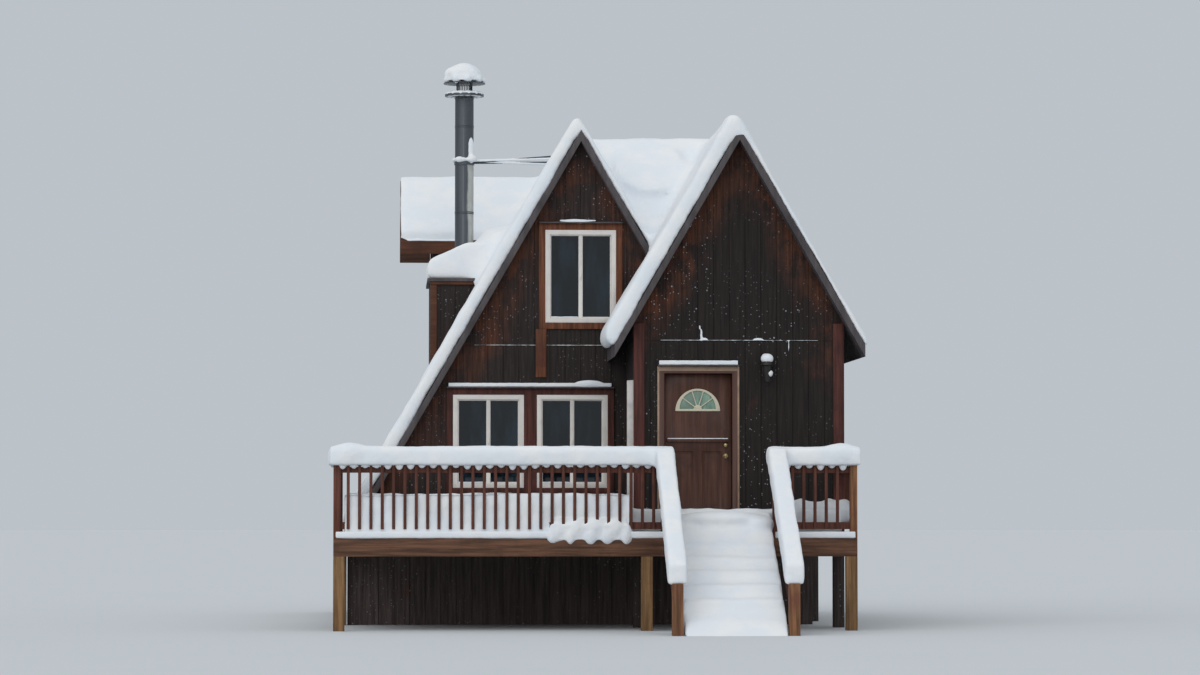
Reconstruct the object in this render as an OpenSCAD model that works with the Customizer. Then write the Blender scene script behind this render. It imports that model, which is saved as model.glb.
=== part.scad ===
// Alpine chalet in millimetres, +Z up: an A-frame house, a gabled entry wing, two side
// dormers, a deck on posts with railings and a stair, and the snow that lies on them.
// X runs to the right as seen from the front, and Y runs to the back. The origin is on the
// ground under the front wall of the main house, on the centreline of the A-frame.

/* [Roofs and walls] */
// Thickness of the roof decks
roof_t = 75; // [60:5:160]
// Thickness of the outside walls
wall_t = 150; // [100:5:180]
// Height of the house floor above the ground
floor_h = 1230; // [1180:10:1400]
// Thickness of the floor platforms
floor_t = 180; // [120:10:240]

/* [Main house] */
// Height of the main ridge above the ground
main_ridge_h = 6490; // [6380:10:6800]
// Distance of each roof foot from the line under the main ridge
main_half_w = 3140; // [3080:5:3180]
// Length of the main house from front wall to back wall
main_len = 7300; // [6600:50:9000]
// How far the main roof runs past its end walls
main_overhang = 150; // [80:10:300]
// How far the roof feet stand out past the skirt walls
skirt_inset = 90; // [40:5:110]
// How far the loft floor lies below the main ridge
loft_drop = 2790; // [2690:10:2840]
// Thickness of the loft floor
loft_t = 200; // [120:10:260]

/* [Entry wing] */
// How far the entry ridge lies below the main ridge
entry_ridge_drop = 120; // [10:10:240]
// Distance of the entry ridge to the right of the main ridge
entry_ridge_x = 1950; // [1900:10:2050]
// Width of the entry wing over its walls
entry_w = 2700; // [2600:10:2800]
// How far the entry wing stands out in front of the main house
entry_out = 1500; // [1300:10:1700]
// Depth of the entry wing behind the main front wall
entry_back = 4700; // [4500:50:5400]
// How far the entry eaves stand out past its side walls
entry_eave = 250; // [120:10:300]
// How far the entry roof runs past its end walls
entry_overhang = 200; // [80:10:300]

/* [Saddle roof] */
// How far the saddle ridge lies below the main ridge
saddle_ridge_drop = 150; // [130:10:290]
// Distance of the saddle ridge behind the front wall
saddle_y = 2200; // [2000:50:2400]

/* [Front dormer] */
// How far its outer wall stands out of the main slope, at the top of its roof
dormer_f_reach = 870; // [760:10:1010]
// Distance of its front cheek behind the front wall
dormer_f_y = 1000; // [800:50:1100]
// Length of the front dormer
dormer_f_len = 1700; // [1500:50:1900]
// How far its roof lies below the main ridge
dormer_f_drop = 1890; // [1790:10:1990]
// Thickness of its roof
dormer_f_roof_t = 45; // [30:5:100]
// How far its roof stands out past its walls
dormer_f_eave = 40; // [10:5:80]

/* [Rear dormer] */
// Distance of its face to the left of the main ridge
dormer_r_out = 1900; // [1840:10:2000]
// Distance of its middle behind the front wall
dormer_r_y = 4300; // [4250:10:4700]
// Width of the rear dormer over its cheeks
dormer_r_w = 1800; // [1700:10:1900]
// How far its ridge lies below the main ridge
dormer_r_ridge_drop = 310; // [240:10:390]
// Pitch of its roof, in degrees
dormer_r_pitch = 43; // [40:1:46]
// Thickness of its roof deck
dormer_r_roof_t = 125; // [60:5:140]
// How far its roof stands out past its cheeks
dormer_r_eave = 100; // [40:5:160]
// How far its roof stands out past its face
dormer_r_over = 450; // [380:10:480]
// Thickness of the walls of both dormers
dormer_wall_t = 110; // [80:5:150]

/* [Windows] */
// Width of every sliding window
window_w = 930; // [860:10:1000]
// Height of every sliding window
window_h = 1220; // [1000:10:1240]
// Width of the white frame bars
window_bar = 62; // [40:2:80]
// Width of the middle bar where the panes meet
window_mid = 50; // [30:2:70]
// Depth of the window frames
window_depth = 85; // [60:5:100]
// How far the window frames stand out of the wall
window_out = 20; // [5:5:24]
// Thickness of the glass
glass_t = 8; // [4:1:12]
// How far the sills of the upper windows lie below the main ridge
upper_sill_drop = 2530; // [2490:10:2590]
// Height of the lower window sills above the ground
lower_sill_h = 1790; // [1700:10:1850]
// Distance of the left lower window to the left of the main ridge
lower_left_x = 1210; // [1190:5:1250]
// Distance of the right lower window to the left of the main ridge
lower_right_x = 110; // [60:5:130]
// Width of the trim boards round the windows
trim_w = 85; // [60:5:90]
// Thickness of the trim boards
trim_t = 25; // [12:1:35]

/* [Entrance door] */
// Distance of the middle of the door to the right of the main ridge
door_x = 1430; // [1380:10:1480]
// Width of the door leaf
door_w = 860; // [780:10:900]
// Height of the door leaf
door_h = 1980; // [1900:10:2000]
// Thickness of the door leaf
door_t = 45; // [35:1:55]
// Clearance round the door leaf
door_gap = 6; // [5:1:10]
// Thickness of the door jambs
jamb_t = 44; // [30:1:60]
// Height of the door sill above the floor
sill_t = 20; // [10:1:30]
// Width of the half-round light in the door
fan_w = 575; // [480:5:600]
// Height of the foot of the half-round light above the foot of the door
fan_h = 1505; // [1450:5:1560]
// Width of the cream frame round the half-round light
fan_bar = 28; // [18:1:36]

/* [Chimney] */
// Outer diameter of the insulated pipe
pipe_d = 254; // [200:2:280]
// Diameter of the flue inside the pipe
flue_d = 154; // [120:2:180]
// Height of the top of the pipe above the ground
pipe_top_h = 7145; // [7000:5:7300]
// Distance of the pipe to the left of the main ridge
pipe_x = 1490; // [1460:5:1560]
// Distance of the pipe behind the front wall
pipe_y = 2000; // [1800:10:2100]
// Diameter of the rain cap
cap_d = 570; // [520:5:620]
// Height of the rods' band above the ground
band_h = 6240; // [6150:5:6300]
// Diameter of the brace rods
rod_d = 26; // [16:1:40]

/* [Deck] */
// Height of the deck above the ground
deck_h = 1150; // [1080:5:1170]
// Distance of the deck's left edge to the left of the main ridge
deck_left = 3200; // [3190:10:3400]
// Distance of the deck's front edge in front of the main front wall
deck_out = 2900; // [2700:10:3200]
// Thickness of the deck boards
deck_board_t = 38; // [25:1:45]
// Height of the rim boards
rim_h = 230; // [200:5:260]
// Thickness of the rim boards, joists, rails and stringers
lumber_t = 38; // [32:1:45]
// Width of the posts that carry the deck and the wing
post_w = 140; // [100:5:160]
// Distance from one joist to the next
joist_pitch = 406; // [300:1:610]

/* [Railings] */
// Height of the railings above the deck
rail_h = 910; // [860:5:1000]
// Height of the top rail board
top_rail_h = 72; // [50:1:100]
// Height of the bottom rail board
bottom_rail_h = 88; // [60:1:110]
// Gap under the bottom rail
rail_gap = 107; // [90:1:130]
// How far the top rail lies under the baluster tops
baluster_over = 33; // [10:1:50]
// Width of the balusters
baluster_w = 38; // [30:1:50]
// Distance from one baluster to the next
baluster_pitch = 140; // [110:1:160]
// Width of the railing posts
rail_post_w = 90; // [80:1:110]

/* [Stair] */
// Distance of the left stair rail to the right of the main ridge
stair_left = 900; // [870:5:930]
// Distance of the right stair rail to the right of the main ridge
stair_right = 2290; // [2250:5:2350]
// Number of steps down from the deck, the ground included
risers = 7; // [6:1:8]
// Depth from one step to the next
going = 293; // [260:1:310]
// Thickness of the treads
tread_t = 38; // [30:1:50]
// How far each tread stands out past the next one down
nosing = 25; // [10:1:40]
// Height of the stringer boards
stringer_h = 290; // [250:5:320]
// Width of the newel posts
newel_w = 130; // [100:5:140]
// Height of the newel posts above the ground
newel_h = 620; // [560:10:800]

/* [Snow] */
// Depth of snow on the left slope of the main roof
snow_left = 200; // [120:10:260]
// Depth of snow on the right slopes of both roofs
snow_right = 100; // [60:10:150]
// Depth of snow on the left slope of the entry roof
snow_entry = 230; // [120:10:260]
// Height of the snow above the ridges
snow_ridge = 210; // [140:10:240]
// Depth of snow on the saddle, measured straight up
snow_saddle_t = 150; // [80:10:200]
// Depth of snow on the rear dormer
snow_dormer = 170; // [80:10:200]
// Depth of snow on the chimney cap
snow_cap = 270; // [180:10:300]
// Depth of snow on the railings
snow_rail = 240; // [150:10:280]
// Width of snow on the railings
snow_rail_w = 260; // [180:10:290]
// Depth of snow on the deck
snow_deck_t = 580; // [250:10:600]
// Depth of snow over the step edges
snow_stair_t = 240; // [150:10:260]

/* [Hidden] */
$fn = 48;

// Colours of the real house
dark_siding = [0.17, 0.14, 0.13];
red_brown = [0.34, 0.19, 0.13];
roof_edge = [0.33, 0.31, 0.35];
rim_brown = [0.43, 0.27, 0.18];
post_tan = [0.5, 0.38, 0.25];
white_frame = [0.84, 0.82, 0.8];
dark_glass = [0.12, 0.15, 0.18, 0.8];
pipe_grey = [0.42, 0.44, 0.46];
snow_white = [0.9, 0.92, 0.94];

// Clearance of round pieces in the holes that hold them
fit_gap = 0.3;
// Spare length of every cutting solid
spare = 10;
// Reach of the regions that other solids are trimmed to
reach = 500;
// Hairline between sloping faces that lie on each other
seam = 0.2;

// Rise of the steep roofs for each millimetre sideways, and their straight-down thickness
platform_h = floor_h - floor_t;
foot_x = main_half_w;
steep = (main_ridge_h - platform_h) / foot_x;
roof_pitch = atan(steep);
roof_drop = roof_t / cos(roof_pitch);
skirt_x = foot_x - skirt_inset;
loft_h = main_ridge_h - loft_drop;
entry_ridge_h = main_ridge_h - entry_ridge_drop;
saddle_ridge_h = main_ridge_h - saddle_ridge_drop;
dormer_f_h = main_ridge_h - dormer_f_drop;
dormer_f_out = dormer_f_drop / steep + dormer_f_reach;
dormer_r_ridge_h = main_ridge_h - dormer_r_ridge_drop;
upper_sill_h = main_ridge_h - upper_sill_drop;
entry_l = entry_ridge_x - entry_w / 2;
entry_r = entry_ridge_x + entry_w / 2;
eave_l = entry_l - entry_eave;
eave_r = entry_r + entry_eave;

// Where the right slope of the main roof meets the left slope of the entry roof
valley_x = (main_ridge_h - entry_ridge_h + entry_ridge_x * steep) / (2 * steep);
valley_h = main_ridge_h - valley_x * steep;

// Height of the top and of the underside of each steep roof at a place across the house
function main_top(x) = main_ridge_h - abs(x) * steep;
function main_under(x) = main_top(x) - roof_drop;
function entry_top(x) = entry_ridge_h - abs(x - entry_ridge_x) * steep;
function entry_under(x) = entry_top(x) - roof_drop;
// Half width of the main house under its roof, and over it, at a height
function main_inner(z) = (main_ridge_h - roof_drop - z) / steep;
function main_outer(z) = (main_ridge_h - z) / steep;
// The same for walls and floors, which stop a hairline short of the undersides
seam_up = seam / cos(roof_pitch);
seam_across = seam / sin(roof_pitch);
function main_wall_top(x) = main_under(x) - seam_up;
function entry_wall_top(x) = entry_under(x) - seam_up;
function main_room(z) = main_inner(z) - seam_across;

// Point at a distance down a slope from its ridge and at a height square to the slope
function on_slope(ridge, side, down, up, pitch) =
    [ridge[0] + side * (down * cos(pitch) + up * sin(pitch)),
     ridge[1] - down * sin(pitch) + up * cos(pitch)];

// Outlines with round corners
function unit(v) = v / norm(v);
function corner(a, b, c, r) =
    r <= 0 ? [b] :
    let (u = unit(a - b), v = unit(c - b), half = acos(u * v) / 2,
         m = b + unit(u + v) * r / sin(half),
         s = unit(b + u * r / tan(half) - m),
         e = unit(b + v * r / tan(half) - m),
         turn = acos(s * e), n = 5)
    [for (k = [0 : n]) m + r * (s * sin((1 - k / n) * turn) + e * sin(k / n * turn)) / sin(turn)];
function rounded(p, r) =
    let (n = len(p))
    [for (i = [0 : n - 1]) each corner(p[(i + n - 1) % n], p[i], p[(i + 1) % n], r[i])];

// A crosswise outline, drawn in X and Z, run from front to back
module run_back(y0, y1, outline) {
    translate([0, y1, 0]) rotate([90, 0, 0]) linear_extrude(y1 - y0) polygon(outline);
}
// A lengthwise outline, drawn in Y and Z, run from left to right
module run_right(x0, x1, outline) {
    translate([x0, 0, 0]) rotate([90, 0, 90]) linear_extrude(x1 - x0) polygon(outline);
}
// A block between two corners
module block(a, b) {
    translate(a) cube(b - a);
}
// A round rod between two points
module rod(a, b, d) {
    v = b - a;
    translate(a) rotate([0, acos(v[2] / norm(v)), atan2(v[1], v[0])]) cylinder(h = norm(v), d = d);
}

// Skirt walls and floors

module skirt_ends() color(dark_siding) {
    block([-skirt_x, -skirt_lap, 0], [skirt_x, wall_t, platform_h]);
    block([-skirt_x, main_len - wall_t, 0], [skirt_x, main_len + skirt_lap, platform_h]);
}
// How far the skirt's siding stands out past the wall above
skirt_lap = 20;

module skirt_sides() color(dark_siding) {
    for (side = [-1, 1])
        block([side > 0 ? skirt_x - wall_t : -skirt_x, wall_t, 0],
              [side > 0 ? skirt_x : wall_t - skirt_x, main_len - wall_t, platform_h]);
}

main_floor_outline = [[-main_room(platform_h), platform_h], [main_room(platform_h), platform_h],
    [main_room(floor_h), floor_h], [-main_room(floor_h), floor_h]];
main_outline = [[-foot_x, platform_h], [foot_x, platform_h], [0, main_ridge_h]];

module main_floor() color(red_brown) run_back(0, main_len, main_floor_outline);

module entry_floor() color(red_brown) difference() {
    block([entry_l, -entry_out, platform_h], [entry_r, entry_back, floor_h]);
    run_back(0, entry_back - wall_t, main_floor_outline);
    run_back(entry_back - wall_t, entry_back + spare, main_outline);
}

loft_under = loft_h - loft_t;
module loft_floor() color(red_brown) {
    half_low = main_room(loft_under);
    half_top = main_room(loft_h);
    run_back(wall_t, entry_back - wall_t, [[-half_low, loft_under],
        [entry_r - wall_t, loft_under], [entry_r - wall_t, loft_h], [-half_top, loft_h]]);
    run_back(entry_back - wall_t, main_len - wall_t, [[-half_low, loft_under],
        [half_low, loft_under], [half_top, loft_h], [-half_top, loft_h]]);
}

// Windows, each placed by the middle of its sill and the side that it faces

module window_block(x, sill) {
    block([x - window_w / 2, -spare, sill], [x + window_w / 2, wall_t + spare, sill + window_h]);
}
end_windows = [[0, upper_sill_h], [-lower_left_x, lower_sill_h], [-lower_right_x, lower_sill_h]];
// Middle of the side windows: one in the entry's right wall, one in the rear dormer's face
side_window_y = (entry_back - entry_out) / 2;
dormer_sill_h = upper_sill_h;

// Runs its children at every window, drawn as if it were in the front wall at the origin
module at_end_windows() {
    for (w = end_windows) translate([w[0], 0, w[1]]) children();
    for (w = end_windows) translate([-w[0], main_len, w[1]]) rotate(180) children();
}
module at_side_windows() {
    translate([entry_r, side_window_y, lower_sill_h]) rotate(90) children();
    translate([-dormer_r_out, dormer_r_y, dormer_sill_h]) rotate(-90) children();
}

module window_frame() {
    difference() {
        block([-window_w / 2, -window_out, 0], [window_w / 2, window_depth - window_out, window_h]);
        block([window_bar - window_w / 2, -window_out - spare, window_bar],
              [window_w / 2 - window_bar, window_depth, window_h - window_bar]);
    }
    block([-window_mid / 2, -window_out / 2, window_bar],
          [window_mid / 2, glass_y, window_h - window_bar]);
}
// Depth of the glass behind the wall's outer face
glass_y = 30;

module window_frames() color(white_frame) {
    at_end_windows() window_frame();
    at_side_windows() window_frame();
}
module pane() {
    block([window_bar - window_w / 2, glass_y, window_bar],
          [window_w / 2 - window_bar, glass_y + glass_t, window_h - window_bar]);
}
module window_glass() color(dark_glass) {
    at_end_windows() pane();
    at_side_windows() pane();
}

// Boards round one window: sides, head and sill
module trim_ring() {
    difference() {
        block([-window_w / 2 - trim_w, -trim_t, -trim_w],
              [window_w / 2 + trim_w, 0, window_h + trim_w]);
        block([-window_w / 2, -trim_t - spare, 0], [window_w / 2, spare, window_h]);
    }
}
// The joint batten under the left side of the upper window
batten_w = 140;
batten_x = -520;
batten_low_h = 3240;
module window_trim() color(red_brown) {
    difference() {
        at_end_windows() trim_ring();
        entry_slope_front();
        both_main_slopes();
    }
    at_side_windows() trim_ring();
    block([batten_x - batten_w / 2, -trim_t, batten_low_h],
          [batten_x + batten_w / 2, 0, upper_sill_h - trim_w - 1]);
}

// A sloping cap board over a window or a door, fixed to the wall
cap_out = 75;
cap_t = 28;
module drip_cap(half) {
    run_right(-half, half, [[0, 0], [-cap_out, 0], [-cap_out, cap_t / 2], [0, cap_t]]);
}
module drip_caps() color(roof_edge) {
    difference() {
        union() {
            translate([0, 0, upper_sill_h + window_h + trim_w]) drip_cap(window_w / 2 + trim_w);
            translate([-(lower_left_x + lower_right_x) / 2, 0, lower_sill_h + window_h + trim_w])
                drip_cap((lower_left_x - lower_right_x + window_w) / 2 + trim_w);
        }
        both_main_slopes();
    }
    translate([door_x, -entry_out, door_head_h + casing_w]) drip_cap(door_w / 2 + jamb_t + casing_w);
}

// Walls of the main house

module main_wall_windows() {
    for (w = end_windows) window_block(w[0], w[1]);
}
module front_wall() color(dark_siding) difference() {
    run_back(0, wall_t, [[-main_room(floor_h), floor_h], [entry_l + wall_t, floor_h],
        [entry_l + wall_t, entry_wall_top(entry_l + wall_t)], [valley_x, main_wall_top(valley_x)],
        [0, main_wall_top(0)]]);
    main_wall_windows();
}
module back_wall() color(dark_siding) difference() {
    run_back(main_len - wall_t, main_len,
        [[-main_room(floor_h), floor_h], [main_room(floor_h), floor_h], [0, main_wall_top(0)]]);
    translate([0, main_len, 0]) rotate(180) main_wall_windows();
}

// Walls of the entry wing, split beside and over the doorway

hole_l = door_x - door_w / 2 - door_gap - jamb_t;
hole_r = door_x + door_w / 2 + door_gap + jamb_t;
leaf_foot_h = floor_h + sill_t + door_gap;
door_head_h = leaf_foot_h + door_h + door_gap + jamb_t;

module entry_front_left() color(dark_siding)
    block([entry_l, -entry_out, floor_h], [hole_l, wall_t - entry_out, door_head_h]);
module entry_front_right() color(dark_siding)
    block([hole_r, -entry_out, floor_h], [entry_r, wall_t - entry_out, door_head_h]);
module entry_gable() color(dark_siding)
    run_back(-entry_out, wall_t - entry_out, [[entry_l, door_head_h], [entry_r, door_head_h],
        [entry_r, entry_wall_top(entry_r)], [entry_ridge_x, entry_wall_top(entry_ridge_x)],
        [entry_l, entry_wall_top(entry_l)]]);
module entry_side_left() color(dark_siding)
    run_back(wall_t - entry_out, 0, [[entry_l, floor_h], [entry_l + wall_t, floor_h],
        [entry_l + wall_t, entry_wall_top(entry_l + wall_t)], [entry_l, entry_wall_top(entry_l)]]);
module entry_side_right() color(dark_siding) difference() {
    run_back(wall_t - entry_out, entry_back - wall_t, [[entry_r - wall_t, floor_h],
        [entry_r, floor_h], [entry_r, entry_wall_top(entry_r)],
        [entry_r - wall_t, entry_wall_top(entry_r - wall_t)]]);
    translate([entry_r, side_window_y, 0]) rotate(90) window_block(0, lower_sill_h);
}
// The main slope passes through this wall, so it fills only what lies outside that slope
back_meet_x = (main_ridge_h - entry_ridge_h + roof_drop + entry_ridge_x * steep) / (2 * steep);
module entry_back_wall() color(dark_siding)
    run_back(entry_back - wall_t, entry_back, [[main_outer(floor_h) + seam, floor_h],
        [entry_r, floor_h], [entry_r, entry_wall_top(entry_r)],
        [entry_ridge_x, entry_wall_top(entry_ridge_x)], [back_meet_x + seam, main_top(back_meet_x)]]);

// Roof slopes

module main_slope(side, y0, y1) {
    run_back(y0, y1, [[0, main_ridge_h], [0, main_under(0)],
        [side * main_inner(platform_h), platform_h], [side * foot_x, platform_h]]);
}
module both_main_slopes() {
    for (side = [-1, 1]) main_slope(side, -main_overhang, main_len + main_overhang);
}
module main_roof_left() color(roof_edge) difference() {
    main_slope(-1, -main_overhang, main_len + main_overhang);
    block([-foot_x - spare, -main_overhang - spare, platform_h - spare], [0, 0, deck_h]);
    front_dormer_room(dormer_f_h - dormer_f_roof_t);
    rear_dormer_room();
}
module main_roof_right() color(roof_edge) {
    difference() {
        main_slope(1, -main_overhang, entry_back - wall_t);
        block([valley_x, -main_overhang - spare, 0],
              [foot_x + spare, entry_back - wall_t + 1, valley_h]);
        entry_slope_front();
    }
    main_slope(1, entry_back - wall_t, main_len + main_overhang);
}
// The left slope of the entry roof in front of the main house
module entry_slope_front() {
    run_back(-entry_out - entry_overhang, 0, [[entry_ridge_x, entry_ridge_h],
        [entry_ridge_x, entry_under(entry_ridge_x)], [eave_l, entry_under(eave_l)],
        [eave_l, entry_top(eave_l)]]);
}
module entry_roof_left() color(roof_edge) difference() {
    union() {
        entry_slope_front();
        run_back(0, entry_back + entry_overhang, [[entry_ridge_x, entry_ridge_h],
            [entry_ridge_x, entry_under(entry_ridge_x)], [valley_x, valley_h - roof_drop],
            [valley_x, valley_h]]);
    }
    run_back(entry_back - wall_t, entry_back + entry_overhang + spare, main_outline);
}
module entry_roof_right() color(roof_edge)
    run_back(-entry_out - entry_overhang, entry_back + entry_overhang,
        [[entry_ridge_x, entry_ridge_h], [eave_r, entry_top(eave_r)],
         [eave_r, entry_under(eave_r)], [entry_ridge_x, entry_under(entry_ridge_x)]]);

// The saddle fills the valley with a roof of its own, whose ridge runs from ridge to ridge
module valley_region(lift) {
    run_back(-entry_out, main_len, [[valley_x, valley_h + seam_up],
        [entry_ridge_x, entry_ridge_h + seam_up], [entry_ridge_x, entry_ridge_h + lift],
        [0, main_ridge_h + lift], [0, main_ridge_h + seam_up]]);
}
module saddle_gable(lift) {
    run_right(-spare, entry_ridge_x + spare, [[0, valley_h + lift],
        [saddle_y, saddle_ridge_h + lift], [2 * saddle_y, valley_h + lift],
        [2 * saddle_y, valley_h - spare], [0, valley_h - spare]]);
}
module saddle_roof() color(roof_edge) intersection() {
    saddle_gable(0);
    valley_region(spare);
}

// Front dormer: a flat roof on three walls that stand on the main slope

module outside_left_slope(reach) {
    run_back(0, main_len, [[0, main_ridge_h], [-foot_x, platform_h], [-foot_x - reach, platform_h],
        [-foot_x - reach, main_ridge_h + reach], [0, main_ridge_h + reach]]);
}
module front_dormer_room(top) {
    block([dormer_wall_t - dormer_f_out, dormer_f_y + dormer_wall_t, platform_h],
          [0, dormer_f_y + dormer_f_len - dormer_wall_t, top]);
}
module front_dormer_walls() color(dark_siding) intersection() {
    difference() {
        block([-dormer_f_out, dormer_f_y, platform_h],
              [0, dormer_f_y + dormer_f_len, dormer_f_h - dormer_f_roof_t]);
        front_dormer_room(dormer_f_h);
    }
    outside_left_slope(spare);
}
module front_dormer_roof() color(roof_edge) difference() {
    intersection() {
        block([-dormer_f_out - dormer_f_eave, dormer_f_y - dormer_f_eave,
               dormer_f_h - dormer_f_roof_t],
              [0, dormer_f_y + dormer_f_len + dormer_f_eave, dormer_f_h]);
        outside_left_slope(spare);
    }
}

// Rear dormer: a gabled roof whose ridge runs out to the left

dormer_r_steep = tan(dormer_r_pitch);
dormer_r_drop = dormer_r_roof_t / cos(dormer_r_pitch);
dormer_r_half = dormer_r_w / 2 + dormer_r_eave;
dormer_r_eave_h = dormer_r_ridge_h - dormer_r_half * dormer_r_steep;
function dormer_gable(half, drop, low) = [
    [dormer_r_y - half, dormer_r_ridge_h - half * dormer_r_steep - drop],
    [dormer_r_y, dormer_r_ridge_h - drop],
    [dormer_r_y + half, dormer_r_ridge_h - half * dormer_r_steep - drop],
    [dormer_r_y + half, low], [dormer_r_y - half, low]];
module rear_dormer_room() intersection() {
    block([dormer_wall_t - dormer_r_out, dormer_r_y - dormer_r_w / 2 + dormer_wall_t, platform_h],
          [0, dormer_r_y + dormer_r_w / 2 - dormer_wall_t, main_ridge_h]);
    run_right(-dormer_r_out, 0, dormer_gable(dormer_r_w / 2, dormer_r_drop, platform_h));
}
module rear_dormer_walls() color(dark_siding) difference() {
    intersection() {
        run_right(-dormer_r_out, 0, dormer_gable(dormer_r_w / 2, dormer_r_drop, platform_h));
        outside_left_slope(spare);
    }
    block([dormer_wall_t - dormer_r_out, dormer_r_y - dormer_r_w / 2 + dormer_wall_t, 0],
          [0, dormer_r_y + dormer_r_w / 2 - dormer_wall_t, main_ridge_h]);
    translate([-dormer_r_out, dormer_r_y, 0]) rotate(-90) window_block(0, dormer_sill_h);
}
module rear_dormer_roof() color(roof_edge) intersection() {
    run_right(-dormer_r_out - dormer_r_over, 0,
        [[dormer_r_y - dormer_r_half, dormer_r_eave_h], [dormer_r_y, dormer_r_ridge_h],
         [dormer_r_y + dormer_r_half, dormer_r_eave_h],
         [dormer_r_y + dormer_r_half, dormer_r_eave_h - dormer_r_drop],
         [dormer_r_y, dormer_r_ridge_h - dormer_r_drop],
         [dormer_r_y - dormer_r_half, dormer_r_eave_h - dormer_r_drop]]);
    outside_left_slope(spare);
}

// Boards on the end faces of the steep roofs, and at the corners of the entry wing

rake_t = 25;
main_rake_outline = [[0, main_ridge_h], [foot_x, platform_h],
    [main_inner(platform_h), platform_h], [0, main_under(0)],
    [-main_inner(platform_h), platform_h], [-foot_x, platform_h]];
entry_rake_outline = [[entry_ridge_x, entry_ridge_h], [eave_r, entry_top(eave_r)],
    [eave_r, entry_under(eave_r)], [entry_ridge_x, entry_under(entry_ridge_x)],
    [eave_l, entry_under(eave_l)], [eave_l, entry_top(eave_l)]];
module rake_boards() color(roof_edge) {
    difference() {
        run_back(-main_overhang - rake_t, -main_overhang, main_rake_outline);
        entry_slope_front();
        block([valley_x - spare, -entry_out, 0], [foot_x + spare, 0, valley_h]);
        block([-foot_x - spare, -entry_out, 0], [0, 0, deck_h]);
    }
    run_back(main_len + main_overhang, main_len + main_overhang + rake_t, main_rake_outline);
    run_back(-entry_out - entry_overhang - rake_t, -entry_out - entry_overhang,
        entry_rake_outline);
    difference() {
        run_back(entry_back + entry_overhang, entry_back + entry_overhang + rake_t,
            entry_rake_outline);
        run_back(entry_back, main_len, main_outline);
    }
}

corner_w = 140;
strip_w = 80;
strip_top_h = 3150;
module corner_boards() color(red_brown) {
    block([entry_l, -entry_out - trim_t, floor_h],
          [entry_l + corner_w, -entry_out, entry_under(entry_l)]);
    block([entry_r - corner_w, -entry_out - trim_t, floor_h],
          [entry_r, -entry_out, entry_under(entry_r)]);
    block([entry_l - strip_w, -entry_out, deck_h], [entry_l, strip_w - entry_out, strip_top_h]);
}

// Chimney

flashing_d = pipe_d + 200;
flashing_h = 110;
module chimney_pipe() color(pipe_grey)
    translate([-pipe_x, pipe_y, dormer_f_h]) rotate_extrude()
        polygon([[flue_d / 2, 0], [flashing_d / 2, 0], [pipe_d / 2, flashing_h],
            [pipe_d / 2, pipe_top_h - dormer_f_h], [flue_d / 2, pipe_top_h - dormer_f_h]]);

plate_t = 30;
plate_d = cap_d - 40;
cap_gap = 142;
cap_rise = 30;
cap_edge_t = 8;
strap_w = 40;
strap_t = 6;
module chimney_cap() color(pipe_grey) translate([-pipe_x, pipe_y, pipe_top_h]) {
    rotate_extrude() polygon([[flue_d / 2, 0], [plate_d / 2, 0], [plate_d / 2, plate_t],
        [flue_d / 2, plate_t]]);
    for (turn = [45 : 90 : 315]) rotate(turn)
        block([pipe_d / 2, -strap_w / 2, 0],
              [pipe_d / 2 + strap_t, strap_w / 2, plate_t + cap_gap + strap_t]);
    translate([0, 0, plate_t + cap_gap])
        rotate_extrude() polygon([[0, 0], [cap_d / 2, 0], [cap_d / 2, cap_edge_t], [0, cap_rise]]);
}

// Two rods from a band on the pipe to the main roof beside its ridge
band_t = 10;
band_w = 70;
rod_end_x = 110;
rod_spread = 520;
module brace_rods(d) {
    for (side = [-1, 1])
        rod([pipe_d / 2 - pipe_x + band_t / 2, pipe_y + side * pipe_d / 6, band_h],
            [-rod_end_x, pipe_y + side * rod_spread, main_top(rod_end_x)], d);
}
module chimney_braces() color(pipe_grey) difference() {
    union() {
        translate([-pipe_x, pipe_y, band_h - band_w / 2]) rotate_extrude()
            polygon([[pipe_d / 2 + fit_gap, 0], [pipe_d / 2 + band_t, 0],
                [pipe_d / 2 + band_t, band_w], [pipe_d / 2 + fit_gap, band_w]]);
        brace_rods(rod_d);
    }
    run_back(0, main_len, main_outline);
    translate([-pipe_x, pipe_y, dormer_f_h]) cylinder(h = pipe_top_h, d = pipe_d + 2 * fit_gap);
}

// Entrance door

casing_w = 45;
casing_t = 15;
leaf_l = door_x - door_w / 2;
leaf_r = door_x + door_w / 2;
// The leaf lies flush with the wall's inner face and swings inward on its left edge
leaf_back_y = wall_t - entry_out;
module door_frame() color(white_frame) {
    difference() {
        union() {
            block([hole_l, -entry_out, floor_h], [hole_r, wall_t - entry_out, door_head_h]);
            block([hole_l - casing_w, -entry_out - casing_t, floor_h],
                  [hole_r + casing_w, -entry_out, door_head_h + casing_w]);
        }
        block([hole_l + jamb_t, -entry_out - spare - casing_t, floor_h + sill_t],
              [hole_r - jamb_t, wall_t - entry_out + spare, door_head_h - jamb_t]);
    }
}

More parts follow.
